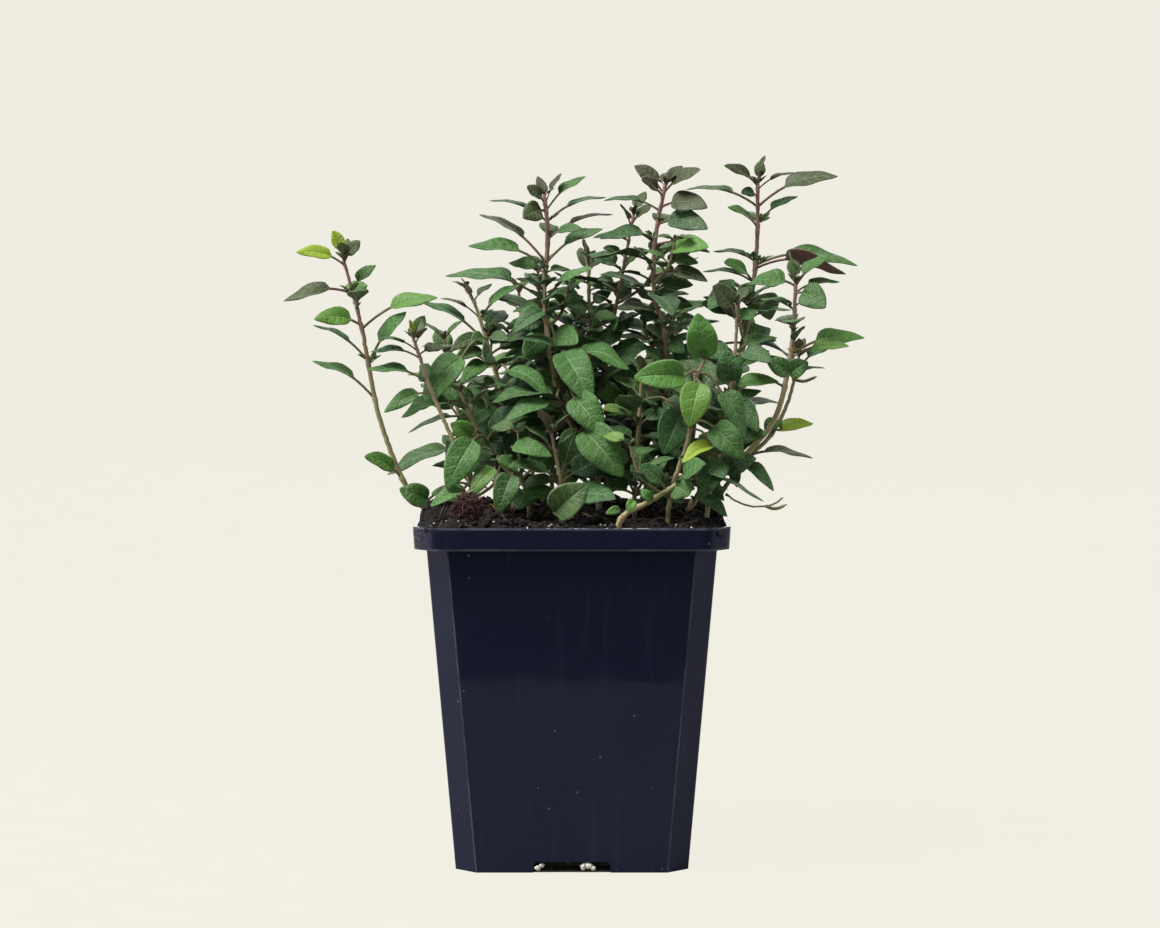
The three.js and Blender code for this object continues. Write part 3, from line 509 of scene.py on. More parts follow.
class Leaf:
    """A leaf: its midrib bends from the stem over a point above the straight line to its tip."""

    def __init__(self, base, tip, width, turn, tone=None):
        self.base, self.tip = np.array(base, float), np.array(tip, float)
        self.length = np.linalg.norm(self.tip - self.base)
        self.bend = self.base + 0.45 * (self.tip - self.base)
        self.bend[2] += 0.24 * self.length
        self.width, self.turn, self.tone, self.lean = width, math.radians(turn), tone, 0.0
        self.filler, self.foot = False, None

    def show(self, foot, tip, seen, tone):
        """Gives the blade its own foot and tip, and leans it back until it shows the seen width."""
        self.foot, self.tip, self.tone = np.array(foot, float), np.array(tip, float), tone
        blade = np.linalg.norm(self.tip - self.foot)
        self.width = max(seen, blade / 1.9)
        self.lean = min(math.acos(seen / self.width) + 0.3, 1.3)

    def midrib(self, u):
        """Quadratic curve: base, bend and tip weighted by (1-u)^2, 2u(1-u) and u^2."""
        u = np.asarray(u, float)[:, None]
        return (1 - u) ** 2 * self.base + 2 * u * (1 - u) * self.bend + u**2 * self.tip

    def frame_at(self, u):
        """Across the blade and out of its upper face: the level side vector, and the vector square
        to it and to the midrib, both turned about the midrib so that the upper face shows."""
        u = np.asarray(u, float)
        along = unit(self.midrib(u + 0.01) - self.midrib(u - 0.01))
        side = unit(np.array([self.tip[1] - self.base[1], self.base[0] - self.tip[0], 0.0]))
        up = unit(np.cross(side, along))
        angle = -self.turn if side[1] < 0 else self.turn
        across = side * math.cos(angle) + up * math.sin(angle)
        return across, up * math.cos(angle) - side * math.sin(angle)

    def half_width(self, v):
        """An egg shape: half the width times sin(pi v^0.72)^0.85."""
        return self.width / 2 * np.maximum(np.sin(math.pi * np.asarray(v) ** 0.72), 0) ** 0.85

    def fine_half_width(self, v):
        """The same egg shape, rounder at the foot: sin(pi v^0.64)^0.78 for leaves that lie nearly
        level, sin(pi v^0.68)^0.72 for the others."""
        power, blunt = (0.64, 0.78) if self.turn < 0.7 and self.foot is None else (0.68, 0.72)
        return self.width / 2 * np.maximum(np.sin(math.pi * np.asarray(v) ** power), 0) ** blunt

    def blade_points(self, v, parts):
        """Points of the solid's blade: the part of half a width out from the rib, and raised by
        that distance times the margin's lift."""
        u = PETIOLE_SHARE + (1 - PETIOLE_SHARE) * v
        across, normal = self.frame_at(u)
        out = np.asarray(parts)[None, :] * self.half_width(v)[:, None]
        lift = np.abs(out) * margin_lift(v)[:, None]
        rib = self.midrib(u)[:, None, :]
        return rib + across[:, None, :] * out[..., None] + normal[:, None, :] * lift[..., None]

    def fine_curve(self, v):
        """The rib of the petiole and the blade, and how the blade faces, at the places v along the
        blade: a quadratic curve up to the foot and another from there to the tip."""
        if self.foot is None:
            share = min(max(1 - 2.15 * self.width / self.length, 0.24), 0.4)
            u = np.concatenate([PETIOLE_STATIONS * share, share + (1 - share) * v])
            return (self.midrib(u), *self.frame_at(np.maximum(u, 0.011)))
        reach, blade = np.linalg.norm(self.foot - self.base), np.linalg.norm(self.tip - self.foot)
        toward = np.array([0, -math.cos(self.lean), math.sin(self.lean)])
        middle = (self.base + self.foot) / 2 + [0, 0, 0.2 * reach]
        crest = (self.foot + self.tip) / 2 + 0.13 * blade * toward
        petiole = curve_points([self.base, middle, self.foot], PETIOLE_STATIONS)
        points = np.vstack([petiole, curve_points([self.foot, crest, self.tip], v)])
        along = unit(np.gradient(points, axis=0))
        normal = unit(toward - (along @ toward)[:, None] * along)
        return points, np.cross(along, normal), normal

    def clearance_points(self):
        """Points about 2 mm apart on the blade, alone and with three on the petiole."""
        along = math.ceil(self.length * (1 - PETIOLE_SHARE) / 2) + 1
        parts = [-1, -0.5, 0, 0.5, 1] if self.width > SMALL_BLADE else [-1, 0, 1]
        blade = self.blade_points((np.arange(along) + 0.6) / along, parts).reshape(-1, 3)
        return blade, np.vstack([self.midrib([0.12, 0.2, 0.28]), blade])


def margin_lift(v):
    """The margins stand above the midrib near the foot and fall below it near the tip: 0.32 less
    half of v, as a share of the distance from the rib."""
    return 0.32 - 0.5 * v


def too_close(a, b, limit):
    """Whether any point of one set is nearer than the limit to any of the other."""
    if len(a) == 0 or len(b) == 0:
        return False
    return bool((((a[:, None] - b[None]) ** 2).sum(2) < limit * limit).any())


def is_free(points):
    """Leaves stay over the soil and the rim, and reach no further back or forward than the pot."""
    x, y, z = points.T
    inside = np.maximum(np.abs(x), np.abs(y)) < RIM_WIDTH / 2 + 2
    floor = np.maximum(POT_HEIGHT + RIM_CLEARANCE, soil_height(x, y) + SOIL_CLEARANCE)
    over = np.where(inside, z > floor, z > POT_HEIGHT)
    return bool((over & (np.abs(y) <= PLANT_DEPTH / 2)).all())


def sphere_round(points):
    """The middle of the points and how far the farthest of them is from it."""
    centre = points.mean(0)
    return centre, np.linalg.norm(points - centre, axis=1).max()


class Growth:
    """All stems and leaves that stand so far, each with a sphere round it."""

    def __init__(self):
        self.items, self.centres, self.reaches = [], np.zeros((0, 3)), np.zeros(0)
        self.clearance, self.own_clearance = CLEARANCE, OWN_CLEARANCE

    def add(self, stem, blade, everything, tube):
        centre, reach = sphere_round(everything)
        self.items.append((stem, blade, everything, tube))
        self.centres = np.vstack([self.centres, centre])
        self.reaches = np.append(self.reaches, reach)

    def takes(self, leaf, stem):
        """Adds the leaf and says True if all its points are free and clear of everything near."""
        blade, everything = leaf.clearance_points()
        if not is_free(blade):
            return False
        centre, reach = sphere_round(everything)
        far = np.linalg.norm(self.centres - centre, axis=1)
        for k in np.flatnonzero(far <= reach + self.reaches + self.clearance):
            owner, other_blade, other_all, tube = self.items[k]
            if owner != stem:
                if too_close(everything, other_all, self.clearance):
                    return False
                continue
            if tube:
                away = np.linalg.norm(other_blade - leaf.base, axis=1) > 5
                other_blade = other_blade[away]
            if too_close(blade, other_blade, self.own_clearance):
                return False
        self.add(stem, blade, everything, False)
        return True


def prominent_leaf(growth, name, row):
    """A prominent leaf keeps its place in the front view and only moves in depth to be clear."""
    z, x, y, tip_z, width, turn, tone = row
    base = on_stem(name, z)
    for rise, shift in itertools.product(RISES, SHIFTS):
        leaf = Leaf(base, (x, y + shift, tip_z + rise), width, turn, tone)
        if growth.takes(leaf, name):
            return leaf
    return None


def leaf_by_rule(growth, name, base, azimuth, tilt, reach, share, turn, tries=None):
    """The first clear leaf of those that are smaller, raised and swung round as the lists say.
    Its tip lies in the direction of the azimuth and the tilt, and share is width over length."""
    for size, raised, swing in itertools.product(*(tries or (SIZES, TILTS, TURNS))):
        heading, angle = math.radians(azimuth + swing), math.radians(tilt + raised)
        length = reach * size
        out = length * math.cos(angle)
        step = (out * math.cos(heading), out * math.sin(heading), length * math.sin(angle))
        leaf = Leaf(base, base + np.array(step), length * share, turn)
        if growth.takes(leaf, name):
            return leaf
    return None


def is_taken(leaves, base, azimuth):
    """A place in a pair is taken where a prominent leaf leaves the stem less than 4 mm above or
    below it, in a direction less than 60 degrees off."""
    for leaf in leaves:
        heading = math.atan2(leaf.tip[1] - leaf.base[1], leaf.tip[0] - leaf.base[0])
        if abs(leaf.base[2] - base[2]) < 4 and math.cos(heading - math.radians(azimuth)) > 0.5:
            return True
    return False


def pairs_by_rule(growth, name, seed, leaves):
    """Crossed pairs from the top down; each lower pair is longer and more level than the last."""
    stem, azimuth, draw = STEMS[name], STEMS[name].azimuth, seeded(seed)
    top = stem.path[-1][2]
    prominent = list(leaves)
    z = top - 0.8
    while z > stem.first:
        below = top - z
        reach = min(TOP_REACH + REACH_GROWTH * below, LONGEST_REACH)
        base = on_stem(name, z)
        for side in (0, 180):
            heading = azimuth + side + 24 * (next(draw) - 0.5)
            tilt = 48 - min(below * 1.8, 76) + 20 * (next(draw) - 0.5)
            length = reach * (0.85 + 0.3 * next(draw))
            share = 0.38 + 0.08 * next(draw)
            turn = 50 * (next(draw) - 0.3)
            if not is_taken(prominent, base, heading):
                leaf = leaf_by_rule(growth, name, base, heading, tilt, length, share, turn)
                if leaf:
                    leaves.append(leaf)
        azimuth += 90
        z -= TOP_INTERNODE + INTERNODE_GROWTH * below


def grow_plant():
    """Every stem's leaves: the stems stand first, then the prominent leaves, then the pairs, and
    last what is here only: side shoots and smaller leaves that fill the plant's inside."""
    growth = Growth()
    for name, stem in STEMS.items():
        count = math.ceil(curve_length(stem.path) / 1.2)
        tube = curve_points(stem.path, np.arange(count + 1) / count)
        growth.add(name, tube, tube, True)
    grown, prominent = {}, {}
    for name, stem in STEMS.items():
        prominent[name] = [prominent_leaf(growth, name, row) for row in stem.leaves]
        grown[name] = [leaf for leaf in prominent[name] if leaf]
    for i, name in enumerate(STEMS):
        pairs_by_rule(growth, name, SEED + 97 * i, grown[name])
    for name, leaves in grown.items():
        broaden(leaves)
        show_leaves(growth, name, prominent[name], leaves)
    shoots = {name: [] for name in STEMS}
    body = np.vstack([item[2] for item in growth.items])
    growth.clearance, growth.own_clearance = INNER_CLEARANCE, INNER_OWN_CLEARANCE
    for i, name in enumerate(FILLED):
        draw = np.random.default_rng(SHOOT_SEED + i)
        side_shoots(growth, name, body, grown[name], shoots[name], draw)
    for i, name in enumerate(FILLED):
        inner_leaves(growth, name, body, grown[name], np.random.default_rng(INNER_SEED + i))
    return grown, shoots


def broaden(leaves):
    """Leaves whose upper faces are turned to the front by less than 36 degrees become at least 0.3
    times as broad as they are long; they only look narrow in front."""
    for leaf in leaves:
        if leaf.turn < math.radians(36):
            leaf.width = max(leaf.width, 0.3 * leaf.length)


def show_leaves(growth, name, prominent, leaves):
    """Gives the leaves that face the front their own blades, and adds those that are here only.
    Each new blade takes up its room: the rib and a line at 0.8 of the half width on both sides."""
    for row, height, foot, tip, seen, tone in SHOWN.get(name, []):
        leaf = prominent[row] if row is not None else None
        if leaf is None:
            leaf = Leaf(on_stem(name, height), tip, seen, 0)
            leaves.append(leaf)
        leaf.show(foot, tip, seen, tone)
        v = np.linspace(0.05, 0.95, 7)
        rib, across, _ = (values[len(PETIOLE_STATIONS):] for values in leaf.fine_curve(v))
        out = 0.8 * (across * leaf.fine_half_width(v)[:, None])
        blade = np.vstack([rib, rib + out, rib - out])
        growth.add(name, blade, blade, False)


def near_body(body, point, far):
    """Whether a point is nearer than far to what the part itself has. What is here only stays that
    near, so that the plant's outline is kept."""
    return bool((((body - point) ** 2).sum(1) < far * far).any())


def inner_leaves(growth, name, body, leaves, draw):
    """Smaller leaves between the pairs. Every 4 to 6 mm down the stem there is a place for four, a
    quarter turn apart; chance leaves some out, more of them low down. The upper faces are turned to
    the front by 10 to 65 degrees."""
    z = min(STEMS[name].path[-1][2] - INNER_BELOW_TOP, INNER_HIGHEST)
    while z > INNER_LOWEST:
        base = on_stem(name, z)
        size = next(size for under, size in INNER_SIZES if z < under)
        chance = FILLED[name] * (THINNED if z < THINNED_BELOW else 1)
        azimuth = draw.uniform(0, 360)
        for side in (0, 90, 180, 270):
            reach, tilt = draw.uniform(11, 19) * size, draw.uniform(-12, 42)
            share, turn = draw.uniform(0.46, 0.56), draw.uniform(10, 65)
            if draw.random() > chance:
                continue
            place = (base, azimuth + side, tilt)
            leaf = leaf_by_rule(growth, name, *place, reach, share, turn, INNER_TRIES)
            if leaf and near_body(body, leaf.tip, INNER_NEAR):
                leaf.filler, leaf.tone = True, "dark" if draw.random() < 0.5 else None
                leaves.append(leaf)
        z -= draw.uniform(4, 6)


def side_shoots(growth, name, body, leaves, shoots, draw):
    """Side shoots from the lower part of a stem: a short bent path that rises, with up to four
    crossed pairs of small leaves on it, the lower ones longer."""
    top = STEMS[name].path[-1][2]
    z = SHOOT_LOWEST
    while z < top - SHOOT_BELOW_TOP:
        base = on_stem(name, z)
        heading, length = draw.uniform(0, 2 * math.pi), draw.uniform(12, 26)
        out = np.array([math.cos(heading), math.sin(heading), 0])
        middle = base + length * (0.42 * out + [0, 0, 0.3])
        end = base + length * (0.62 * out + [0, 0, 0.78])
        path = [tuple(base), tuple(middle), tuple(end)]
        z += draw.uniform(11, 19) / FILLED[name]
        chain = curve_points(path, np.linspace(0.15, 1, 12))
        inside = abs(end[1]) < SHOOT_DEPTH and end[2] < top - 6
        if not (inside and is_free(chain) and near_body(body, end, SHOOT_NEAR)):
            continue
        shoots.append(path)
        growth.add(name, chain, chain, True)
        azimuth = draw.uniform(0, 360)
        for share in SHOOT_PAIRS:
            place = curve_points(path, share)[0]
            for side in (0, 180):
                reach = length * (0.26 + 0.34 * (1 - share)) * draw.uniform(0.9, 1.25) + 2.5
                leaf = leaf_by_rule(
                    growth, name, place, azimuth + side, draw.uniform(0, 45), reach,
                    draw.uniform(0.42, 0.52), draw.uniform(-5, 60), INNER_TRIES,
                )
                if leaf and near_body(body, leaf.tip, SHOOT_LEAF_NEAR):
                    leaf.filler = True
                    leaves.append(leaf)
            azimuth += 90


# Meshes from grids.


class Surface:
    """Grids of points gathered into one mesh: positions, faces, material numbers and point data."""

    def __init__(self):
        self.points, self.faces, self.slots, self.data = [], [], [], {}
        self.count = 0

    def add(self, points, faces, slot=0, **data):
        """points is (n, 3), faces a list of (m, k) index arrays, data one row or a row a point."""
        points = np.asarray(points, float).reshape(-1, 3)
        for block in faces:
            block = np.asarray(block, int)
            self.faces.append(block + self.count)
            self.slots.append(np.full(len(block), slot))
        for key, value in data.items():
            value = np.asarray(value, float)
            width = value.shape[-1] if value.ndim else 1
            rows = np.broadcast_to(value.reshape(-1, width), (len(points), width))
            self.data.setdefault(key, []).append(rows)
        self.points.append(points)
        self.count += len(points)

    def object(self, name, materials):
        """Writes the gathered arrays into a new mesh object that rides on the root body."""
        mesh = bpy.data.meshes.new(name)
        points = np.vstack(self.points) * 0.001
        loops = np.concatenate([block.ravel() for block in self.faces])
        sizes = np.concatenate([np.full(len(block), block.shape[1]) for block in self.faces])
        starts = np.concatenate([[0], np.cumsum(sizes)[:-1]])
        mesh.vertices.add(len(points))
        mesh.vertices.foreach_set("co", points.astype(np.float32).ravel())
        mesh.loops.add(len(loops))
        mesh.loops.foreach_set("vertex_index", loops.astype(np.int32))
        mesh.polygons.add(len(sizes))
        mesh.polygons.foreach_set("loop_start", starts.astype(np.int32))
        for material in materials:
            mesh.materials.append(material)
        mesh.polygons.foreach_set("material_index", np.concatenate(self.slots).astype(np.int32))
        mesh.polygons.foreach_set("use_smooth", np.full(len(sizes), True))
        for key, blocks in self.data.items():
            values = np.vstack(blocks).astype(np.float32)
            if key == "uv":
                layer = mesh.uv_layers.new(name="uv")
                layer.data.foreach_set("uv", values[loops].ravel())
            elif values.shape[1] == 1:
                layer = mesh.attributes.new(key, "FLOAT", "POINT")
                layer.data.foreach_set("value", values.ravel())
            else:
                values = np.hstack([values, np.ones((len(values), 1), np.float32)])
                layer = mesh.attributes.new(key, "FLOAT_COLOR", "POINT")
                layer.data.foreach_set("color", values.ravel())
        mesh.update(calc_edges=True)
        mesh.validate()
        piece = bpy.data.objects.new(name, mesh)
        bpy.context.scene.collection.objects.link(piece)
        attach(piece, "root")
        return piece


def ring_faces(rows, columns):
    """Four-cornered faces between rings of points that turn left seen from the last ring, and a
    many-cornered face on each end."""
    i, j = np.meshgrid(np.arange(rows - 1), np.arange(columns), indexing="ij")
    a, b = i * columns + j, i * columns + (j + 1) % columns
    quads = np.stack([a, b, b + columns, a + columns], -1).reshape(-1, 4)
    foot = np.arange(columns)[::-1][None]
    head = (rows - 1) * columns + np.arange(columns)[None]
    return [quads, foot, head]


def ring(first, second, sides):
    """Places round a unit circle in the plane of two vectors: cosine times the first plus sine
    times the second, and the angles."""
    angle = np.arange(sides) / sides * 2 * math.pi
    across, up = np.cos(angle)[None, :, None], np.sin(angle)[None, :, None]
    return first[:, None] * across + second[:, None] * up, angle


def path_frames(points):
    """Two vectors square to a path at each of its points, from one steady reference."""
    along = unit(np.gradient(points, axis=0))
    steady = np.where(np.abs(along[:, 2:3]) > 0.9, [[1.0, 0, 0]], [[0, 0, 1.0]])
    if (np.abs(along[:, 2]) > 0.9).any():
        steady = np.broadcast_to([0.31, -0.95, 0.02], along.shape)
    first = unit(np.cross(steady, along))
    return first, np.cross(along, first)


def tube_points(points, radii, sides, squareness=0.0):
    """A circle, drawn towards a square by squareness times cos(4 angle), carried along a path."""
    circle, angle = ring(*path_frames(points), sides)
    radius = np.asarray(radii)[:, None] * (1 - squareness * np.cos(4 * angle))[None]
    return points[:, None] + circle * radius[..., None]


def lattice_noise(x, y, cell, seed):
    """Smooth hills: random heights from -1 to 1 on a square lattice, blended by 3t^2 - 2t^3."""
    heights = np.random.default_rng(seed).uniform(-1, 1, (256, 256))
    i, j = np.floor(x / cell).astype(int), np.floor(y / cell).astype(int)
    s, t = x / cell - i, y / cell - j
    s, t = s * s * (3 - 2 * s), t * t * (3 - 2 * t)
    i, j = i % 256, j % 256
    k, l = (i + 1) % 256, (j + 1) % 256
    low = heights[i, j] * (1 - s) + heights[k, j] * s
    return low * (1 - t) + (heights[i, l] * (1 - s) + heights[k, l] * s) * t


# Leaves and stalks.


def blade_relief(leaf, q, v, phase):
    """Height of the blade over its plane: side veins are troughs of a cosine of v - 0.25q + 0.1q^2,
    which fades to the margins, and the margin waves gently."""
    side = np.abs(q)
    veins = np.cos(2 * math.pi * SIDE_VEINS * (v - 0.25 * side + 0.1 * side**2))
    size = min(leaf.width / 9, 1.0)
    quilt = -0.06 * size * veins * side**0.5 * (1 - side**3) * np.sin(math.pi * v) ** 0.5
    wave = 0.045 * leaf.width * np.sin(2 * math.pi * (1.6 * v + phase)) * q**2 * np.sin(math.pi * v)
    return quilt + wave


def add_leaf(surface, leaf, look, draw):
    """A leaf as rings from its petiole to its tip. The petiole is a round stalk. The blade is a
    thin lens in section, half a width out and raised there by margin_lift and a fold drawn at
    random, with a groove along the midrib above and a ridge below, both bell curves; its foot
    blends into the petiole by 3t^2 - 2t^3. Larger leaves have more rings and parts across."""
    parts, rows = COARSE_ACROSS, 7
    if leaf.width > 2.6:
        parts, rows = MIDDLE_ACROSS, 10
    if leaf.width > 3.8 and not leaf.filler:
        parts, rows = FINE_ACROSS, 20 if leaf.width > 6.5 else 14
    columns = 2 * len(parts)
    v = np.linspace(0, 1, rows)
    v = (0.45 * v + 0.275 * (1 - np.cos(math.pi * v))) * 0.997
    rib, across, normal = leaf.fine_curve(v)
    v = np.concatenate([0.5 * PETIOLE_STATIONS - 0.5, v])
    inner = np.clip(v, 0, 1)
    blend = np.clip(inner / 0.07, 0, 1)
    blend = (blend**2 * (3 - 2 * blend))[:, None]
    phase, fold = draw.random(), draw.uniform(-0.05, 0.3)
    lowest = 0.0 if leaf.foot is None else draw.uniform(0.0, 0.26)
    q = np.array([parts + [-part for part in parts]])
    facing = np.repeat([[1.0, -1.0]], len(parts), axis=1)
    facing[0, [0, len(parts)]] = 0
    half = np.maximum(leaf.fine_half_width(inner), 0.05)[:, None]
    petiole = max(min(0.36, leaf.width * 0.06), 0.15) * (1 - 0.25 * inner)[:, None]
    angle = np.arange(columns) / columns * 2 * math.pi
    inner = inner[:, None]
    lift = np.abs(q) * half * (margin_lift(inner) + fold * (0.35 - inner) + lowest)
    thick = 0.15 * (1 - q**8) ** 0.5 * np.minimum(half, 1.0)
    from_rib = q * half
    ridge = 0.3 * np.exp(-((from_rib / 0.42) ** 2)) * (1 - inner) ** 0.6 * (facing < 0)
    groove = 0.14 * np.exp(-((from_rib / 0.32) ** 2)) * (1 - inner) * (facing > 0)
    height = lift + facing * thick - ridge - groove + blade_relief(leaf, q, inner, phase)
    x = (1 - blend) * petiole * np.cos(angle) + blend * q * half
    z = (1 - blend) * petiole * np.sin(angle) + blend * height
    points = rib[:, None] - across[:, None] * x[..., None] + normal[:, None] * z[..., None]
    uv = np.stack(np.broadcast_arrays(0.5 + 0.5 * q, v[:, None]), -1)
    # The higher the leaf, the nearer its colour stays to dark green.
    shade = draw.random() * np.clip((198 - leaf.base[2]) / 40, 0.15, 1)
    surface.add(
        points, ring_faces(len(v), columns), LEAF_SLOT, uv=uv.reshape(-1, 2),
        look=look, shade=shade, facing=np.broadcast_to(facing, x.shape).reshape(-1, 1),
    )
    return points


def tuft(surface, base, axis, reach, azimuth, look, draw, pairs=2):
    """Crossed pairs of very young leaves round an axis, each smaller pair more upright."""
    for k in range(pairs):
        size = reach * 0.72**k
        for side in (0, 180):
            heading = math.radians(azimuth + 90 * k + side + draw.uniform(-18, 18))
            tilt = math.radians(38 + 22 * k + draw.uniform(-10, 10))
            out = np.array([math.cos(heading), math.sin(heading), 0.0])
            tip = base + size * (out * math.cos(tilt) + axis * math.sin(tilt))
            leaf = Leaf(base + 0.2 * out, tip, size * 0.42, draw.uniform(-10, 30))
            add_leaf(surface, leaf, look, draw)


def leaf_look(leaf, below, draw):
    """How bright, purple and olive a leaf is: its tone, or by how far it stands below the tip, with
    purple and olive that fade by e for each 14 mm; all with a little chance."""
    if leaf.tone:
        look = np.array(TONES[leaf.tone])
    else:
        young = math.exp(-below / 14)
        look = np.array([draw.uniform(0, 0.35), 0.8 * young * draw.random(), 0.6 * young])
        if draw.random() < 0.08:
            look = look + np.array([0.4, 0, 0])
    return np.clip(look + draw.uniform(-0.06, 0.06, 3), 0, 1)


def add_hairs(surface, roots, outward, draw, length):
    """Hairs as three-sided spikes: a triangle at the root and one point a hair's length out."""
    count = len(roots)
    out = unit(outward + draw.normal(0, 0.35, (count, 3)))
    first = unit(np.cross(out, [0.3, 0.5, 0.81]))
    second = np.cross(out, first)
    foot = roots[:, None] + 0.035 * ring(first, second, 3)[0] - 0.08 * out[:, None]
    tip = roots + out * (length * draw.uniform(0.5, 1.0, (count, 1)))
    points = np.concatenate([foot, tip[:, None]], 1)
    start = np.arange(count)[:, None] * 4
    sides = np.concatenate([start + corners for corners in HAIR_FACES])
    surface.add(points, [sides], HAIR_SLOT, uv=np.zeros(2), look=np.zeros(3), shade=0.5, facing=0.0)


def add_stalk(surface, path, radius, tints, bases, draw):
    """A stem as a rounded square carried along its path, thicker at the nodes and thinner to the
    tip: radius times 1 - 0.45 s^2, and a bell curve at each node. Its look is pale at the foot,
    purple at the tip and brown at the nodes, with dark woody brown on the lowest 0.3 of it, the
    darker the less pale it is; this darkening is partly the stem's own colour and partly painted
    shade under the foliage."""
    purple, pale = tints
    count = int(curve_length(path) / 0.9)
    start = stem_place(path, 96) if path[0][2] < 96 else 0.0
    t = start + (1 - start) * np.linspace(0, 1, count)
    points = curve_points(path, t)
    foot = max(path[0][2], POT_HEIGHT)
    share = np.clip((points[:, 2] - foot) / (path[-1][2] - foot), 0, 1)
    swell = np.zeros(count)
    for z in bases:
        swell = np.maximum(swell, np.exp(-(((points[:, 2] - z) / 0.8) ** 2)))
    radii = radius * 0.84 * (1 - 0.45 * share**2) * (1 + 0.28 * swell)
    radii[-1] *= 0.4
    # Darker brown on the lowest part: partly the stem's own colour, partly painted shade under the
    # foliage.
    bark_and_shade = (1.5 - pale) * np.clip(1 - share / 0.3, 0, 1) if pale < 1 else 0 * share
    wobble = draw.normal(0, 0.05, (count, 3))
    tube = tube_points(points + wobble, radii, STALK_SIDES, 0.06)
    looks = np.stack([
        np.clip(pale * (1.1 - share * 1.1) - 0.5 * bark_and_shade, 0, 1),
        np.clip(purple * (share * 1.5 - 0.55), 0, 0.85),
        np.clip(0.1 + 0.5 * swell * (1 - share) + 0.55 * (1 - pale) + bark_and_shade, 0, 1),
    ], 1)
    run = np.concatenate([[0], np.cumsum(np.linalg.norm(np.diff(points, axis=0), axis=1))])
    round_it = np.arange(STALK_SIDES)[None] / STALK_SIDES
    uv = np.stack(np.broadcast_arrays(round_it, run[:, None] / 10), -1).reshape(-1, 2)
    looks = np.repeat(looks, STALK_SIDES, axis=0)
    faces = ring_faces(count, STALK_SIDES)
    surface.add(tube, faces, STALK_SLOT, uv=uv, look=looks, shade=draw.random(), facing=0.0)
    chosen = draw.integers(2, count - 1, int(count * 5))
    roots = tube[chosen, draw.integers(0, STALK_SIDES, len(chosen))]
    add_hairs(surface, roots, unit(roots - points[chosen]), draw, 0.55)


def margin_hairs(surface, leaf, points, draw):
    """Hairs on both margins of a blade, away from its rib; fewer on the small inner leaves."""
    half_way = points.shape[1] // 2
    rows = slice(len(PETIOLE_STATIONS) + 1, -1)
    rims = np.concatenate([points[rows, 0], points[rows, half_way]])
    middles = np.concatenate([points[rows, half_way // 2]] * 2)
    picked = draw.integers(0, len(rims), int(leaf.length * (0.6 if leaf.filler else 1.3)))
    rims, middles = rims[picked], middles[picked]
    moved = rims + draw.normal(0, 0.12, (len(picked), 3)) * [1, 1, 0.3]
    add_hairs(surface, rims * 0.98 + moved * 0.02, unit(rims - middles), draw, 0.34)


def build_stem(name, leaves, shoots, materials, seed):
    """One stem: its stalk and side shoots, its leaves with hairs on their margins, and its youngest
    leaves, at the tips and in the angle of some leaves."""
    surface = Surface()
    draw = np.random.default_rng(seed)
    stem = STEMS[name]
    purple, pale = stem.tints
    top = stem.path[-1][2]
    nodes = [leaf.base[2] for leaf in leaves if not leaf.filler]
    add_stalk(surface, stem.path, stem.radius, stem.tints, nodes, draw)
    for shoot in shoots:
        add_stalk(surface, shoot, SHOOT_RADIUS, (purple, pale * 0.6), [], draw)
        middle, end = np.array(shoot[1:])
        axis, azimuth = unit(end - middle), draw.uniform(0, 180)
        tuft(surface, end - axis * 0.4, axis, 3.4, azimuth, np.array([0.4, 0.05, 0.3]), draw)
    for shoot in BARE_SHOOTS.get(name, []):
        add_stalk(surface, shoot, BARE_RADIUS, (0.3, 0.0), [point[2] for point in shoot[1:]], draw)
    for leaf in leaves:
        below = top - leaf.base[2]
        look = leaf_look(leaf, below, draw)
        margin_hairs(surface, leaf, add_leaf(surface, leaf, look, draw), draw)
        if below > 8 and not leaf.filler and draw.random() < 0.34:
            out = unit((leaf.tip - leaf.base) * [1, 1, 0])
            foot, axis = leaf.base + out * 0.9 + [0, 0, 0.5], unit(out * 0.5 + [0, 0, 1])
            reach, azimuth = draw.uniform(2.2, 4.6), draw.uniform(0, 180)
            young = np.clip(look + [0.35, 0, 0.1], 0, 1)
            tuft(surface, foot, axis, reach, azimuth, young, draw)
    before, end = curve_points(stem.path, [0.97, 1.0])
    axis, look = unit(end - before), np.array([0.2, 0.62 * purple, 0.5])
    tuft(surface, end - axis * 0.6, axis, 4.6, stem.azimuth + 45, look, draw, pairs=3)
    piece = surface.object(name + "_fine", materials)
    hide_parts(name)
    return piece


# Soil.


def pot_outline(half, chamfer, count):
    """Points round a square with cut corners, evenly by length, turning left from the front."""
    c = half - chamfer
    right = [(c, -half), (half, -c), (half, c), (c, half)]
    left = [(-x, -y) for x, y in right]
    closed = np.array([*right, *left, right[0]])
    steps = np.linalg.norm(np.diff(closed, axis=0), axis=1)
    run = np.concatenate([[0], np.cumsum(steps)])
    place = np.arange(count) / count * run[-1]
    return np.stack([np.interp(place, run, closed[:, k]) for k in (0, 1)], 1)


def crumbly_height(x, y):
    """The soil's height and four sizes of smooth noise on it, 0.9 mm lower close to the wall."""
    z = soil_height(x, y)
    for cell, depth, seed in CRUMBLE:
        z = z + depth * lattice_noise(x + 200, y + 200, cell, seed)
    edge = np.maximum(np.abs(x), np.abs(y))
    return z - 0.35 - 0.9 * np.clip((edge - 40.5) / 3, 0, 1)


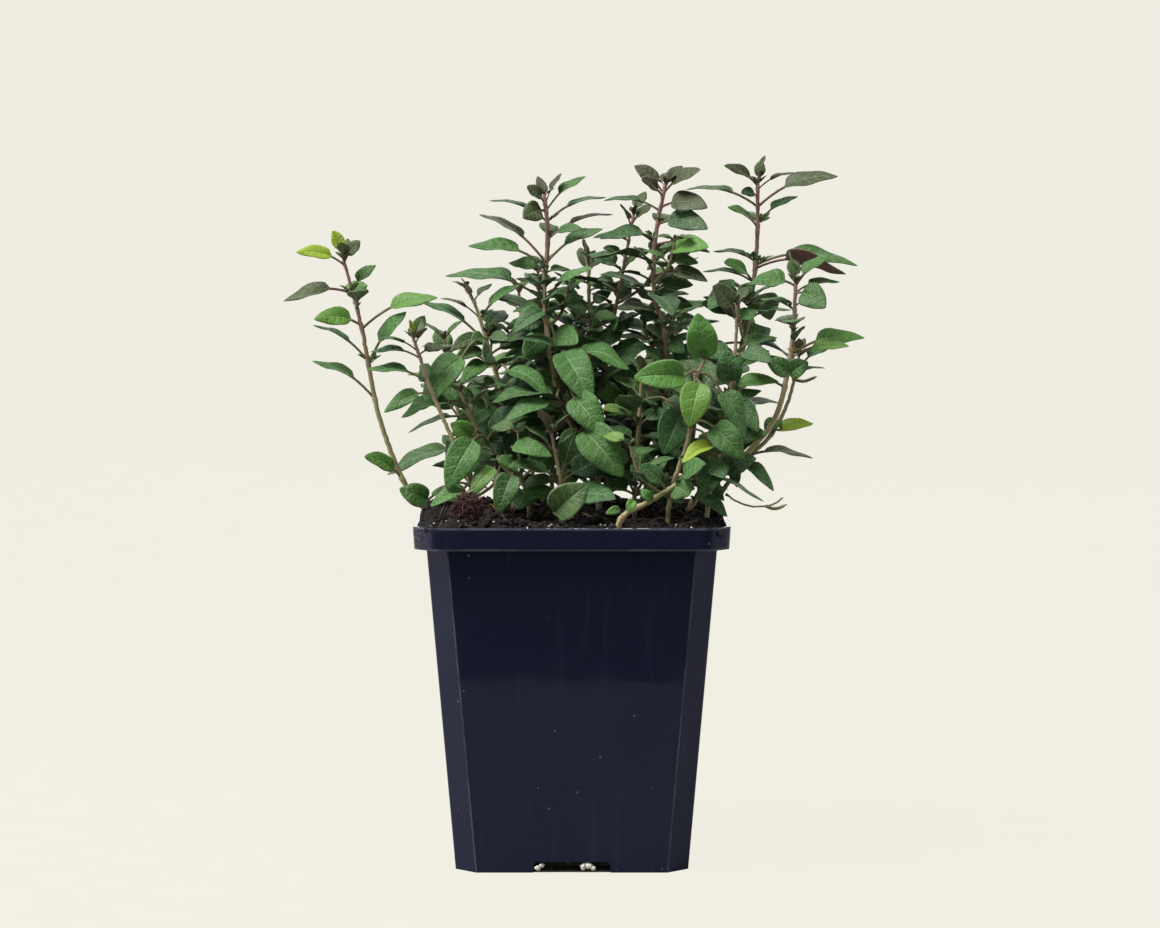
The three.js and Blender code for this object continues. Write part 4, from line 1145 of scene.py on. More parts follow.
def build_soil(settings):
    """The root ball: a crumbly top of rings that shrink to the middle, the wall's shape below it,
    and an underside that rises over the crossed channels."""
    columns, rings = 320, 76
    side_levels = [99.0, 96.5, 94.9, 93.9, 60.0, 30.0, 6.0, 1.6]
    rows = []
    for z in side_levels[::-1]:
        tapered = BODY_TOP_WIDTH - (BODY_TOP_WIDTH - BASE_WIDTH) * (1 - z / BAND_FOOT)
        width = tapered if z < BAND_FOOT + 0.5 else BAND_FOOT_WIDTH
        outline = pot_outline(width / 2 - WALL - GAP, CHAMFER - (WALL + GAP) * 0.6, columns)
        rows.append(np.column_stack([outline, np.full(columns, z)]))
    outline = rows[-1][:, :2]
    for share in np.linspace(1, 0.004, rings):
        x, y = (outline * share).T
        rows.append(np.column_stack([x, y, crumbly_height(x, y)]))
    below, floor = rows[0][:, :2], FLOOR + GAP
    for share in (0.8, 0.6, 0.4, 0.2, 0.02):
        x, y = (below * share).T
        raised = np.minimum(np.abs(x), np.abs(y)) < CHANNEL_WIDTH / 2 + 1.6
        rows.insert(0, np.column_stack([x, y, np.where(raised, CHANNEL_HEIGHT + floor, floor)]))
    surface = Surface()
    surface.add(np.stack(rows), ring_faces(len(rows), columns))
    piece = surface.object("root_ball_fine", [soil_material(settings)])
    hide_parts("root_ball")
    return piece


def on_soil(x, y, raised):
    """Points over the crumbly soil."""
    return np.stack([x, y, crumbly_height(x, y) + raised], 1)


def add_lumps(surface, centres, sizes, draw, slot):
    """Crumbs: a sphere of five rings of six points each, its radius changed by up to 0.28 at
    random, then stretched and turned. All crumbs are worked out at once."""
    count = len(centres)
    lat = np.linspace(-0.5, 0.5, 5) * math.pi * 0.86
    lon = np.arange(6) / 6 * 2 * math.pi
    wide, high = np.cos(lat)[:, None], np.sin(lat)[:, None]
    ball = np.broadcast_arrays(wide * np.cos(lon), wide * np.sin(lon), high)
    ball = np.stack(ball, -1).reshape(1, 30, 3)
    radius = 1 + draw.uniform(-0.28, 0.28, (count, 30, 1))
    stretch = draw.uniform(0.6, 1.3, (count, 1, 3))
    turn = np.linalg.qr(draw.normal(size=(count, 3, 3)))[0]
    turn[np.linalg.det(turn) < 0, :, 0] *= -1
    points = np.einsum("nij,nkj->nki", turn, ball * radius * stretch)
    points = points * np.asarray(sizes).reshape(-1, 1, 1) + centres[:, None]
    start = (np.arange(count) * 30)[:, None, None]
    faces = [(start + block[None]).reshape(-1, block.shape[1]) for block in ring_faces(5, 6)]
    shade = np.repeat(draw.random(count), 30)[:, None]
    surface.add(points, faces, slot, shade=shade)


def add_fibre(surface, draw, lengths, radii, slot, rise):
    """A dry root or straw: a thin tube along an arc that bends sideways and rises in its middle by
    half a sine wave."""
    start, heading = draw.uniform(-40, 40, 2), draw.uniform(0, 6.3)
    length, radius = draw.uniform(*lengths), draw.uniform(*radii)
    s = np.linspace(0, 1, 8)
    angle = heading + draw.uniform(-0.9, 0.9) * (s - 0.5) * 2
    x = np.clip(start[0] + np.cumsum(np.cos(angle)) * length / 8, -43, 43)
    y = np.clip(start[1] + np.cumsum(np.sin(angle)) * length / 8, -43, 43)
    lift = rise * np.sin(math.pi * s) + draw.uniform(0, 0.5) + 0.15
    # A thousandth of a millimetre keeps the points apart where the wall stops the arc.
    points = on_soil(x, y, lift) + np.linspace(0, 1e-3, 8)[:, None]
    tube = tube_points(points, radius * (1 - 0.6 * s), 4)
    surface.add(tube, ring_faces(8, 4), slot, shade=draw.random())


def add_clump(surface, centre, reaches, count, draw):
    """A tangle of fine roots: arcs in random planes whose middles lie in an upper half ellipsoid,
    over a heap of dark crumbs of the same form."""
    inside = unit(draw.normal(size=(count, 3))) * draw.uniform(0.3, 1, (count, 1)) ** 0.5
    inside[:, 2] = np.abs(inside[:, 2])
    middles = centre + inside * reaches
    s = np.linspace(-1, 1, 7)[:, None]
    for middle in middles:
        along, bend = unit(draw.normal(size=3) * [1, 1, 0.5]), unit(draw.normal(size=3))
        half = draw.uniform(1.2, 3.2)
        points = middle + half * (s * along - 0.45 * s**2 * bend)
        points[:, 2] = np.maximum(points[:, 2], crumbly_height(points[:, 0], points[:, 1]) + 0.1)
        points[:, :2] = np.clip(points[:, :2], -42.8, 42.8) + 1e-4 * s
        tube = tube_points(points, draw.uniform(0.1, 0.19) * (1 - 0.5 * s[:, 0] ** 2), 4)
        surface.add(tube, ring_faces(7, 4), MAT_SLOT, shade=draw.random())
    count = count // 3
    heap = unit(draw.normal(size=(count, 3))) * draw.uniform(0.1, 0.7, (count, 1))
    heap[:, 2] = np.abs(heap[:, 2])
    add_lumps(surface, centre + heap * reaches, draw.uniform(0.5, 1.0, count), draw, CRUMB_SLOT)


def build_litter(settings):
    """What lies on the soil: dark crumbs, a few white grains, dry roots and straws, and the
    matted clump of red-brown roots at the front left; crumbs and grains are denser in front."""
    draw = np.random.default_rng(LITTER_SEED)
    surface = Surface()
    places = on_soil(*draw.uniform(-42.5, 42.5, (2, CRUMBS)), 0.15)
    add_lumps(surface, places, draw.uniform(0.25, 0.95, CRUMBS), draw, CRUMB_SLOT)
    x, y = draw.uniform(-42, 42, FRONT_CRUMBS), draw.uniform(-43, -38, FRONT_CRUMBS)
    sizes = draw.uniform(0.25, 1.0, FRONT_CRUMBS)
    add_lumps(surface, on_soil(x, y, 0.2), sizes, draw, CRUMB_SLOT)
    places = on_soil(*draw.uniform(-42.5, 42.5, (2, GRAINS)), 0.25)
    add_lumps(surface, places, draw.uniform(0.15, 0.42, GRAINS), draw, GRAIN_SLOT)
    x, y = draw.uniform(-40, 40, FRONT_GRAINS), draw.uniform(-43, -36, FRONT_GRAINS)
    sizes = draw.uniform(0.15, 0.4, FRONT_GRAINS)
    add_lumps(surface, on_soil(x, y, 0.35), sizes, draw, GRAIN_SLOT)
    for _ in range(LOOSE_ROOTS):
        add_fibre(surface, draw, (4, 14), (0.08, 0.2), ROOT_SLOT, 0.6)
    add_clump(surface, np.array(CLUMP_MIDDLE), CLUMP_REACHES, CLUMP_ARCS, draw)
    add_lumps(surface, WHITE_BITS[:, :3], WHITE_BITS[:, 3], draw, GRAIN_SLOT)
    for _ in range(STRAWS):
        add_fibre(surface, draw, (5, 12), (0.15, 0.28), STRAW_SLOT, 1.2)
    piece = surface.object("litter", [
        crumb_material(settings),
        grain_material(),
        fibre_material("Dry root", settings.root_colour),
        fibre_material("Matted root", settings.mat_colour, 0.16),
        fibre_material("Straw", settings.straw_colour),
    ])
    return piece


# The pot.


def build_pot(settings):
    """The moulded pot: the part's own form, welded, with its flat faces joined, and every edge of
    12 degrees or more rounded by a bevel. Its width is large on the rim band's upright corners,
    small elsewhere and smallest low down, at the feet and channels."""
    mesh = frame["nodes"]["pot"].data.copy()
    body = bmesh.new()
    body.from_mesh(mesh)
    bmesh.ops.remove_doubles(body, verts=body.verts, dist=2e-6)
    flat = math.radians(1.5)
    bmesh.ops.dissolve_limit(body, angle_limit=flat, verts=body.verts, edges=body.edges)
    weight = body.edges.layers.float.new("bevel_weight_edge")
    corner, edge = settings.corner_radius, settings.edge_radius
    for line in body.edges:
        if len(line.link_faces) != 2 or line.calc_face_angle(0) < math.radians(12):
            continue
        a, b = (v.co * 1000 for v in line.verts)
        outside = max(abs(a.x), abs(a.y)) > 44 and max(abs(b.x), abs(b.y)) > 44
        upright = abs(a.z - b.z) > 4
        small = min(a.z, b.z) < 6 and abs(a.z - b.z) < 4.5
        line[weight] = 1.0 if outside and upright and a.z > 90 and b.z > 90 else edge / corner
        if small:
            line[weight] = 0.55 * edge / corner
    body.to_mesh(mesh)
    body.free()
    mesh.materials.clear()
    mesh.materials.append(pot_material(settings))
    mesh.polygons.foreach_set("use_smooth", np.zeros(len(mesh.polygons), bool))
    piece = bpy.data.objects.new("pot_fine", mesh)
    bpy.context.scene.collection.objects.link(piece)
    bevel = piece.modifiers.new("Rounded edges", "BEVEL")
    bevel.limit_method = "WEIGHT"
    bevel.width = corner
    bevel.segments = 6
    bevel.use_clamp_overlap = False
    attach(piece, "root")
    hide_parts("pot")
    return piece


# Materials.


def srgb(red, green, blue):
    """A screen colour of 0 to 255 as linear light."""
    c = np.array([red, green, blue]) / 255
    return tuple(np.where(c <= 0.04045, c / 12.92, ((c + 0.055) / 1.055) ** 2.4))


def node(tree, kind, inputs=None, **settings):
    """Adds a node; inputs maps a socket's name or number to a value or to another node's output."""
    made = tree.nodes.new(kind)
    for key, value in settings.items():
        setattr(made, key, value)
    for key, value in (inputs or {}).items():
        if isinstance(value, bpy.types.NodeSocket):
            tree.links.new(value, made.inputs[key])
        elif isinstance(value, tuple) and len(value) == 3 and made.inputs[key].type == "RGBA":
            made.inputs[key].default_value = (*value, 1)
        else:
            made.inputs[key].default_value = value
    return made


def mix(tree, factor, a, b):
    """Blends two colours, each three numbers or a node's output."""
    a, b = (c if isinstance(c, bpy.types.NodeSocket) else tuple(c) for c in (a, b))
    made = node(tree, "ShaderNodeMix", {0: factor, 6: a, 7: b}, data_type="RGBA")
    return made.outputs[2]


def layered(tree, colour, *layers):
    """The colour with layers over it in turn, each a factor and a colour."""
    for factor, layer in layers:
        colour = mix(tree, factor, colour, layer)
    return colour


def maths(tree, operation, *values):
    return node(tree, "ShaderNodeMath", dict(enumerate(values)), operation=operation).outputs[0]


def times(tree, a, b):
    return maths(tree, "MULTIPLY", a, b)


def larger(tree, a, b):
    return maths(tree, "MAXIMUM", a, b)


def gap_between(tree, a, b):
    return maths(tree, "ABSOLUTE", maths(tree, "SUBTRACT", a, b))


def step(tree, value, low, high, out_low=0.0, out_high=1.0):
    """A smooth rise from out_low at low to out_high at high."""
    ends = {"From Min": low, "From Max": high, "To Min": out_low, "To Max": out_high}
    smooth = {"interpolation_type": "SMOOTHSTEP"}
    return node(tree, "ShaderNodeMapRange", {"Value": value, **ends}, **smooth).outputs[0]


def attribute(tree, name):
    """A number that each point of the mesh has."""
    return node(tree, "ShaderNodeAttribute", attribute_name=name).outputs["Fac"]


def look_parts(tree):
    """The three numbers of the look attribute."""
    look = node(tree, "ShaderNodeAttribute", attribute_name="look").outputs["Color"]
    return node(tree, "ShaderNodeSeparateColor", {"Color": look}).outputs


def leaf_map(tree):
    """Places across and along a leaf, or round and along a stem."""
    return node(tree, "ShaderNodeUVMap", uv_map="uv").outputs[0]


def parts_of(tree, vector):
    return node(tree, "ShaderNodeSeparateXYZ", {"Vector": vector}).outputs


def stretched(tree, vector, *scale):
    return node(tree, "ShaderNodeMapping", {"Vector": vector, "Scale": scale}).outputs[0]


def noise(tree, vector, scale, detail=3.0, roughness=0.55):
    inputs = {"Vector": vector, "Scale": scale, "Detail": detail, "Roughness": roughness}
    return node(tree, "ShaderNodeTexNoise", inputs).outputs[0]


def scaled(colour, share):
    return tuple(c * share for c in colour)


def new_material(name):
    """A material, its node tree, its Principled shader and the place on the object in metres."""
    material = bpy.data.materials.new(name)
    material.use_nodes = True
    tree = material.node_tree
    shader = tree.nodes["Principled BSDF"]
    place = node(tree, "ShaderNodeTexCoord").outputs["Object"]
    return material, tree, shader, place


def link(tree, shader, **sockets):
    """Sets or links the shader's sockets, which are named in words joined by underscores."""
    for key, value in sockets.items():
        name = key.replace("_", " ").title().replace("Ior", "IOR")
        if isinstance(value, bpy.types.NodeSocket):
            tree.links.new(value, shader.inputs[name])
        else:
            shader.inputs[name].default_value = value


def bumped(tree, height, distance):
    inputs = {"Height": height, "Distance": distance, "Strength": 1.0}
    return node(tree, "ShaderNodeBump", inputs).outputs[0]


def new_group(name, vector, numbers, masks):
    """A shader node group with a vector and numbers going in and masks coming out: the group, its
    input sockets, and its output node."""
    group = bpy.data.node_groups.new(name, "ShaderNodeTree")
    sockets = group.interface
    sockets.new_socket(vector, in_out="INPUT", socket_type="NodeSocketVector")
    for label, value in numbers.items():
        made = sockets.new_socket(label, in_out="INPUT", socket_type="NodeSocketFloat")
        made.default_value = value
    for label in masks:
        sockets.new_socket(label, in_out="OUTPUT", socket_type="NodeSocketFloat")
    given = group.nodes.new("NodeGroupInput").outputs[:1 + len(numbers)]
    return group, given, group.nodes.new("NodeGroupOutput")


def group_of(name, make):
    return bpy.data.node_groups.get(name) or make(name)


def specks_group(name):
    """Scattered specks: cells of a Voronoi pattern whose random value is above 1 - Share, each a
    round dot of the given size."""
    numbers = {"Scale": 400.0, "Share": 0.05, "Size": 0.3}
    group, (vector, scale, share, size), out = new_group(name, "Vector", numbers, ["Mask"])
    cells = node(group, "ShaderNodeTexVoronoi", {"Vector": vector, "Scale": scale})
    value = node(group, "ShaderNodeSeparateColor", {"Color": cells.outputs["Color"]}).outputs[0]
    above = maths(group, "GREATER_THAN", value, maths(group, "SUBTRACT", 1.0, share))
    dot = step(group, cells.outputs["Distance"], times(group, size, 0.6), size, 1.0, 0.0)
    group.links.new(times(group, above, dot), out.inputs[0])
    return group


def specks(tree, vector, scale, share, size):
    inputs = {"Vector": vector, "Scale": scale, "Share": share, "Size": size}
    made = node(tree, "ShaderNodeGroup", inputs, node_tree=group_of("Specks", specks_group))
    return made.outputs[0]


def veins_group(name):
    """A leaf's veins on its own map: a midrib at x = 0.5 and side veins where v - 0.25q + 0.1q^2
    passes a multiple of one part in SIDE_VEINS, thinner and fainter towards the margins. q is twice
    the distance from the midrib's line."""
    group, (given,), out = new_group(name, "Map", {}, ["Mask", "Margin", "Along"])
    x, v, _ = parts_of(group, given)
    q = maths(group, "ABSOLUTE", maths(group, "MULTIPLY_ADD", x, 2.0, -1.0))
    square = times(group, maths(group, "POWER", q, 2.0), 0.1)
    bend = maths(group, "MULTIPLY_ADD", q, -0.25, square)
    place = maths(group, "MULTIPLY_ADD", maths(group, "ADD", v, bend), SIDE_VEINS, 0.5)
    far = gap_between(group, maths(group, "FRACT", place), 0.5)
    side = times(group, step(group, far, 0.0, 0.2, 1.0, 0.0), step(group, q, 0.3, 1.0, 0.55, 0.1))
    rib = step(group, q, 0.02, 0.1, 1.0, 0.0)
    fade = step(group, v, 0.75, 1.0, 1.0, 0.4)
    group.links.new(times(group, larger(group, rib, side), fade), out.inputs[0])
    group.links.new(step(group, q, 0.9, 1.0), out.inputs[1])
    group.links.new(v, out.inputs[2])
    return group


def leaf_material(settings):
    """Oregano leaves: dark green, bright, purple or olive by the look attribute, mottled in patches
    and spots, with pale veins, a fine net between them and pale margins above, and a paler, duller
    underside; the petiole is green to purple-brown. Young leaves show less mottle and net."""
    material, tree, shader, place = new_material("Oregano leaf")
    bright, purple, olive = look_parts(tree)
    shade, facing = attribute(tree, "shade"), attribute(tree, "facing")
    inputs = {0: leaf_map(tree)}
    veins = node(tree, "ShaderNodeGroup", inputs, node_tree=group_of("Leaf veins", veins_group))
    mask, margin, along = veins.outputs
    mottle, broad = noise(tree, place, 420, 3), noise(tree, place, 90, 2)
    inputs = {"Vector": place, "Scale": 780.0}
    cells = node(tree, "ShaderNodeTexVoronoi", inputs, feature="DISTANCE_TO_EDGE")
    net = step(tree, cells.outputs["Distance"], 0.0, 0.2, 1.0, 0.0)
    yellow = step(tree, bright, 0.6, 1.0)
    grown = step(tree, larger(tree, olive, yellow), 0.0, 0.8, 1.0, 0.3)
    patch = step(tree, broad, 0.35, 0.7, 0.0, 0.7)
    green = layered(
        tree, settings.dark_green,
        (shade, settings.green),
        (times(tree, patch, step(tree, shade, 0.0, 0.6, 0.35, 1.0)), settings.green),
        (maths(tree, "MINIMUM", bright, 0.65), settings.bright_green),
        (yellow, settings.yellow_green),
        (olive, settings.olive),
        (times(tree, purple, step(tree, mottle, 0.3, 0.7, 0.8, 1.0)), settings.purple),
    )
    spots = times(tree, step(tree, mottle, 0.35, 0.7, 0.0, 0.3), grown)
    green = mix(tree, spots, green, mix(tree, 0.6, green, settings.bright_green))
    pale = settings.vein_colour
    upper = layered(
        tree, green,
        (times(tree, mask, settings.vein_strength), pale),
        (times(tree, net, times(tree, grown, 0.14)), pale),
        (times(tree, margin, 0.38), pale),
    )
    under = layered(
        tree, green, (0.45, settings.underside),
        (times(tree, mask, 0.4), pale), (times(tree, purple, 0.75), settings.blush),
    )
    blade = mix(tree, step(tree, facing, -0.3, 0.3), under, upper)
    reddened = step(tree, larger(tree, olive, purple), 0.1, 0.6, 0.25, 0.85)
    ends = (scaled(tint, 0.6) for tint in (settings.stalk_green, settings.stalk_purple))
    colour = mix(tree, step(tree, along, 0.0, 0.05), mix(tree, reddened, *ends), blade)
    dull = settings.leaf_roughness
    rough = step(tree, mottle, 0.3, 0.7, dull - 0.07, dull + 0.09)
    rough = maths(tree, "ADD", rough, step(tree, facing, -0.3, 0.3, 0.18, 0.0))
    height = times(tree, noise(tree, place, 1500, 2), 0.35)
    height = maths(tree, "MULTIPLY_ADD", mask, -0.7, height)
    height = maths(tree, "MULTIPLY_ADD", times(tree, net, grown), -0.35, height)
    link(tree, shader, base_color=colour, roughness=rough, normal=bumped(tree, height, 0.0002))
    link(tree, shader, sheen_weight=0.04, sheen_roughness=0.4, specular_ior_level=0.3)
    return material


def stalk_material(settings):
    """Stems: tan at the foot, brown, purple near the top, with fine streaks along them."""
    material, tree, shader, place = new_material("Oregano stem")
    pale, purple, brown = look_parts(tree)
    streaks = noise(tree, stretched(tree, leaf_map(tree), 18, 2.2, 1), 1.6, 3)
    blotches = step(tree, noise(tree, place, 260, 3), 0.3, 0.7)
    colour = layered(
        tree, settings.stalk_green, (pale, settings.stalk_tan),
        (times(tree, brown, blotches), settings.stalk_brown), (purple, settings.stalk_purple),
    )
    dry = mix(tree, 0.55, colour, (0.5, 0.42, 0.3))
    colour = mix(tree, step(tree, streaks, 0.45, 0.75, 0.0, 0.45), colour, dry)
    link(tree, shader, base_color=colour, roughness=step(tree, streaks, 0.3, 0.7, 0.5, 0.7))
    normal = bumped(tree, streaks, 0.00012)
    link(tree, shader, normal=normal, sheen_weight=0.15, specular_ior_level=0.4)
    return material


def hair_material():
    """Short pale hairs, a little uneven in colour."""
    material, tree, shader, place = new_material("Hair")
    colour = mix(tree, noise(tree, place, 300), (0.35, 0.38, 0.28), (0.62, 0.6, 0.52))
    link(tree, shader, base_color=colour, roughness=0.6)
    return material


def soil_material(settings):
    """Damp potting soil: nearly black with brown crumbs, a rough bump and tiny pale specks."""
    material, tree, shader, place = new_material("Potting soil")
    coarse, fine = noise(tree, place, 380, 5, 0.65), noise(tree, place, 1700, 4, 0.7)
    colour = mix(tree, step(tree, coarse, 0.4, 0.7), settings.soil_dark, settings.soil_brown)
    colour = mix(tree, specks(tree, place, 900, 0.03, 0.3), colour, (0.32, 0.27, 0.2))
    height = maths(tree, "MULTIPLY_ADD", coarse, 0.7, times(tree, fine, 0.4))
    link(tree, shader, base_color=colour, roughness=step(tree, fine, 0.3, 0.7, 0.75, 0.98))
    link(tree, shader, normal=bumped(tree, height, 0.0009), specular_ior_level=0.3)
    return material


def crumb_material(settings):
    """Crumbs of soil, each with its own shade from black to brown, and a fine grain."""
    material, tree, shader, place = new_material("Soil crumb")
    grain = noise(tree, place, 1500, 4, 0.7)
    colour = mix(tree, attribute(tree, "shade"), settings.soil_dark, settings.soil_brown)
    colour = mix(tree, step(tree, grain, 0.5, 0.8, 0.0, 0.6), colour, (0.07, 0.05, 0.035))
    link(tree, shader, base_color=colour, roughness=step(tree, grain, 0.3, 0.7, 0.7, 0.95))
    link(tree, shader, normal=bumped(tree, grain, 0.0004), specular_ior_level=0.3)
    return material


def grain_material():
    """White mineral grains with soil in their hollows."""
    material, tree, shader, place = new_material("White grain")
    dirt = noise(tree, place, 900, 3)
    colour = mix(tree, step(tree, dirt, 0.4, 0.7), (0.82, 0.8, 0.74), (0.45, 0.42, 0.36))
    link(tree, shader, base_color=colour, roughness=0.8, normal=bumped(tree, dirt, 0.0002))
    return material


def fibre_material(name, colour, faded=0.5):
    """Dry roots and straws: the colour, for some drawn towards a faded brown, with dark streaks."""
    material, tree, shader, place = new_material(name)
    pale = mix(tree, faded, colour, (0.3, 0.22, 0.14))
    light = mix(tree, attribute(tree, "shade"), colour, pale)
    streaks = noise(tree, place, 900, 3)
    dark = mix(tree, 0.7, light, (0.01, 0.007, 0.005))
    colour = mix(tree, step(tree, streaks, 0.4, 0.75), light, dark)
    link(tree, shader, base_color=colour, roughness=0.75, normal=bumped(tree, streaks, 0.0001))
    return material


def rim_dirt(tree, place):
    """A mask of brown grains on the rim's front left corner."""
    x, y, z = parts_of(tree, place)
    corner = times(tree, step(tree, x, -0.038, -0.0445), step(tree, z, 0.091, 0.098))
    corner = times(tree, corner, step(tree, y, -0.02, -0.035))
    return times(tree, corner, step(tree, noise(tree, place, 1500, 4), 0.52, 0.66))


def painted_edge_highlights(tree, place):
    """A mask of painted highlights: pale lines, drawn unevenly, that stand in for the light the
    rounded edges catch on the corners' creases, which lie where the distances from the two middle
    planes differ by the chamfer, the lip and the band's foot."""
    x, y, z = parts_of(tree, place)
    far_x, far_y = maths(tree, "ABSOLUTE", x), maths(tree, "ABSOLUTE", y)
    crease = gap_between(tree, gap_between(tree, far_x, far_y), CHAMFER / 1000)
    crease = step(tree, crease, 0.0001, 0.00045, 1.0, 0.0)
    crease = times(tree, crease, step(tree, z, 0.0928, 0.0922))
    lip = step(tree, z, 0.0992, 0.0997)
    hem = step(tree, gap_between(tree, z, 0.0938), 0.0001, 0.0005, 1.0, 0.0)
    edge_highlight = larger(tree, crease, larger(tree, lip, hem))
    return times(tree, edge_highlight, step(tree, noise(tree, place, 110, 3), 0.3, 0.6, 0.25, 0.8))


def pot_material(settings):
    """Moulded black plastic: a fine orange-peel bump, broad waves, faint rubbed patches that are
    duller and lighter, faint upright lines, pale dust specks, painted highlights as pale lines
    along the edges, and brown dirt on the rim's front left corner."""
    material, tree, shader, place = new_material("Black plastic")
    rubbed = noise(tree, place, 38, 5, 0.6)
    lines = noise(tree, stretched(tree, place, 260, 260, 5), 1.0, 2)
    dust = larger(tree, *(specks(tree, place, *kind) for kind in DUST_KINDS))
    colour = layered(
        tree, settings.colour,
        (step(tree, rubbed, 0.45, 0.8, 0.0, 0.4), settings.rubbed_colour),
        (step(tree, lines, 0.55, 0.75, 0.0, 0.6), settings.rubbed_colour),
        (times(tree, dust, settings.dust), (0.28, 0.29, 0.3)),
        (rim_dirt(tree, place), (0.12, 0.085, 0.06)),
        # Painted highlights: pale lines along the creases, the lip and the band's foot.
        (painted_edge_highlights(tree, place), (0.075, 0.085, 0.12)),
    )
    dull = settings.roughness
    rough = step(tree, rubbed, 0.3, 0.75, dull - 0.02, dull + 0.05)
    height = times(tree, lines, 0.25)
    height = maths(tree, "MULTIPLY_ADD", noise(tree, place, 1400, 2), 0.12, height)
    height = maths(tree, "ADD", height, times(tree, noise(tree, place, 42, 2), 16.0))
    link(tree, shader, base_color=colour, roughness=rough, normal=bumped(tree, height, 0.000008))
    link(tree, shader, specular_ior_level=0.26, specular_tint=(0.62, 0.68, 1.0, 1.0))
    return material


def backdrop_material(settings):
    """A matt pale sheet with a trace of paper grain. Seen directly it glows, except under the pot,
    so that it stays as even as a lit studio sheet; the plant only gets the lamps' light from it.
    Under the pot neither the larger of x and y nor their sum reaches the base's outline."""
    material, tree, shader, place = new_material("Pale backdrop")
    tint = tuple(settings.backdrop)
    colour = mix(tree, step(tree, noise(tree, place, 60, 4), 0.3, 0.7), tint, scaled(tint, 0.99))
    x, y = (maths(tree, "ABSOLUTE", far) for far in parts_of(tree, place)[:2])
    beside = step(tree, larger(tree, x, y), 0.0322, 0.0328)
    cut = step(tree, maths(tree, "ADD", x, y), 0.0588, 0.0596)
    camera = node(tree, "ShaderNodeLightPath").outputs["Is Camera Ray"]
    seen = times(tree, camera, larger(tree, beside, cut))
    glow = mix(tree, times(tree, seen, settings.glow), (0.0, 0.0, 0.0), colour)
    lit = mix(tree, seen, scaled(tint, settings.bounce), scaled(tint, 1 - settings.glow))
    link(tree, shader, base_color=lit, roughness=0.95, specular_ior_level=0.0)
    link(tree, shader, emission_color=glow, emission_strength=1.0)
    return material


# Settings that a user would change.


def colour_property(name, description, default):
    return bpy.props.FloatVectorProperty(
        name=name, description=description, default=default, subtype="COLOR", size=3, min=0, max=1,
    )


def number_property(name, description, default, **limits):
    limits = {"min": 0, **limits}
    return bpy.props.FloatProperty(name=name, description=description, default=default, **limits)


def share_property(name, description, default):
    return number_property(name, description, default, max=1, subtype="FACTOR")


class PotSettings(bpy.types.PropertyGroup):
    """The nursery pot's plastic and edges."""

    colour: colour_property("Plastic", "Colour of the moulded plastic", srgb(25, 28, 48))
    rubbed_colour: colour_property("Rubbed plastic", "Where it is rubbed dull", srgb(37, 41, 60))
    roughness: share_property("Roughness", "How dull the plastic is", 0.06)
    dust: share_property("Dust", "How strongly pale dust specks show", 0.4)
    edge_radius: number_property(
        "Edge radius", "Rounding of the ordinary edges", 0.00035, unit="LENGTH",
    )
    corner_radius: number_property(
        "Rim corner radius", "Rounding of the rim band's corners", 0.0022, unit="LENGTH",
    )


class SoilSettings(bpy.types.PropertyGroup):
    """The potting soil and what lies on it."""

    soil_dark: colour_property("Dark soil", "Colour of damp soil", srgb(15, 13, 13))
    soil_brown: colour_property("Brown soil", "Colour of drier crumbs", srgb(31, 26, 25))
    root_colour: colour_property("Dry root", "Colour of loose roots", srgb(70, 54, 44))
    mat_colour: colour_property("Matted root", "Colour of the matted clump", srgb(64, 24, 32))
    straw_colour: colour_property("Straw", "Colour of bits of straw", srgb(172, 150, 112))


class LeafSettings(bpy.types.PropertyGroup):
    """The colours and finish of leaves and stems."""

    dark_green: colour_property("Dark green", "The darkest leaves", srgb(21, 46, 30))
    green: colour_property("Green", "Ordinary leaves", srgb(42, 82, 44))
    bright_green: colour_property("Bright green", "Fresh leaves", srgb(78, 132, 42))
    yellow_green: colour_property("Yellow green", "The youngest leaves", srgb(140, 164, 44))
    olive: colour_property("Olive", "Leaves near the tips", srgb(56, 70, 34))
    purple: colour_property("Purple", "Stained leaves", srgb(62, 40, 44))
    blush: colour_property("Blush", "Undersides of stained leaves", srgb(120, 74, 76))
    underside: colour_property("Underside", "Underside of the leaves", srgb(76, 98, 72))
    vein_colour: colour_property("Veins", "Veins and margins", srgb(134, 160, 116))
    vein_strength: share_property("Vein strength", "How clearly the veins show", 0.3)
    leaf_roughness: share_property("Leaf roughness", "How dull the upper faces are", 0.52)
    stalk_green: colour_property("Green stem", "Young green stems", srgb(136, 140, 88))
    stalk_tan: colour_property("Tan stem", "Pale woody stems", srgb(184, 168, 124))
    stalk_brown: colour_property("Brown stem", "Dark bark", srgb(88, 72, 58))
    stalk_purple: colour_property("Purple stem", "Stained stems and petioles", srgb(140, 92, 102))


class StageSettings(bpy.types.PropertyGroup):
    """The floor, the lights and the camera."""

    backdrop: colour_property("Backdrop", "Colour of floor and backdrop", srgb(241, 238, 227))
    glow: share_property("Glow", "Even share of the backdrop", 0.98)
    bounce: share_property("Bounce", "How much the floor throws back", 0.4)
    key: number_property("Key light", "Power of the large light, in watts", 24)
    side: number_property("Side lights", "Power of the side lights", 1.75)
    fill: number_property("Fill light", "Power of the light beside the camera", 2.2)
    behind: number_property("Back light", "Power of the light behind", 4.5)
    sky: number_property("Sky", "Strength of the even light all round", 0.1)
    focal_length: number_property("Focal length", "In millimetres", 128.3, min=1)
    camera_place: bpy.props.FloatVectorProperty(
        name="Camera", description="Where the camera stands", default=(0.00231, -1.2, 0.2189),
        subtype="TRANSLATION", size=3,
    )
    camera_pitch: bpy.props.FloatProperty(
        name="Pitch", description="How far the camera looks down", default=math.radians(4.98),
        subtype="ANGLE",
    )


# Operators, one for each group of like pieces.


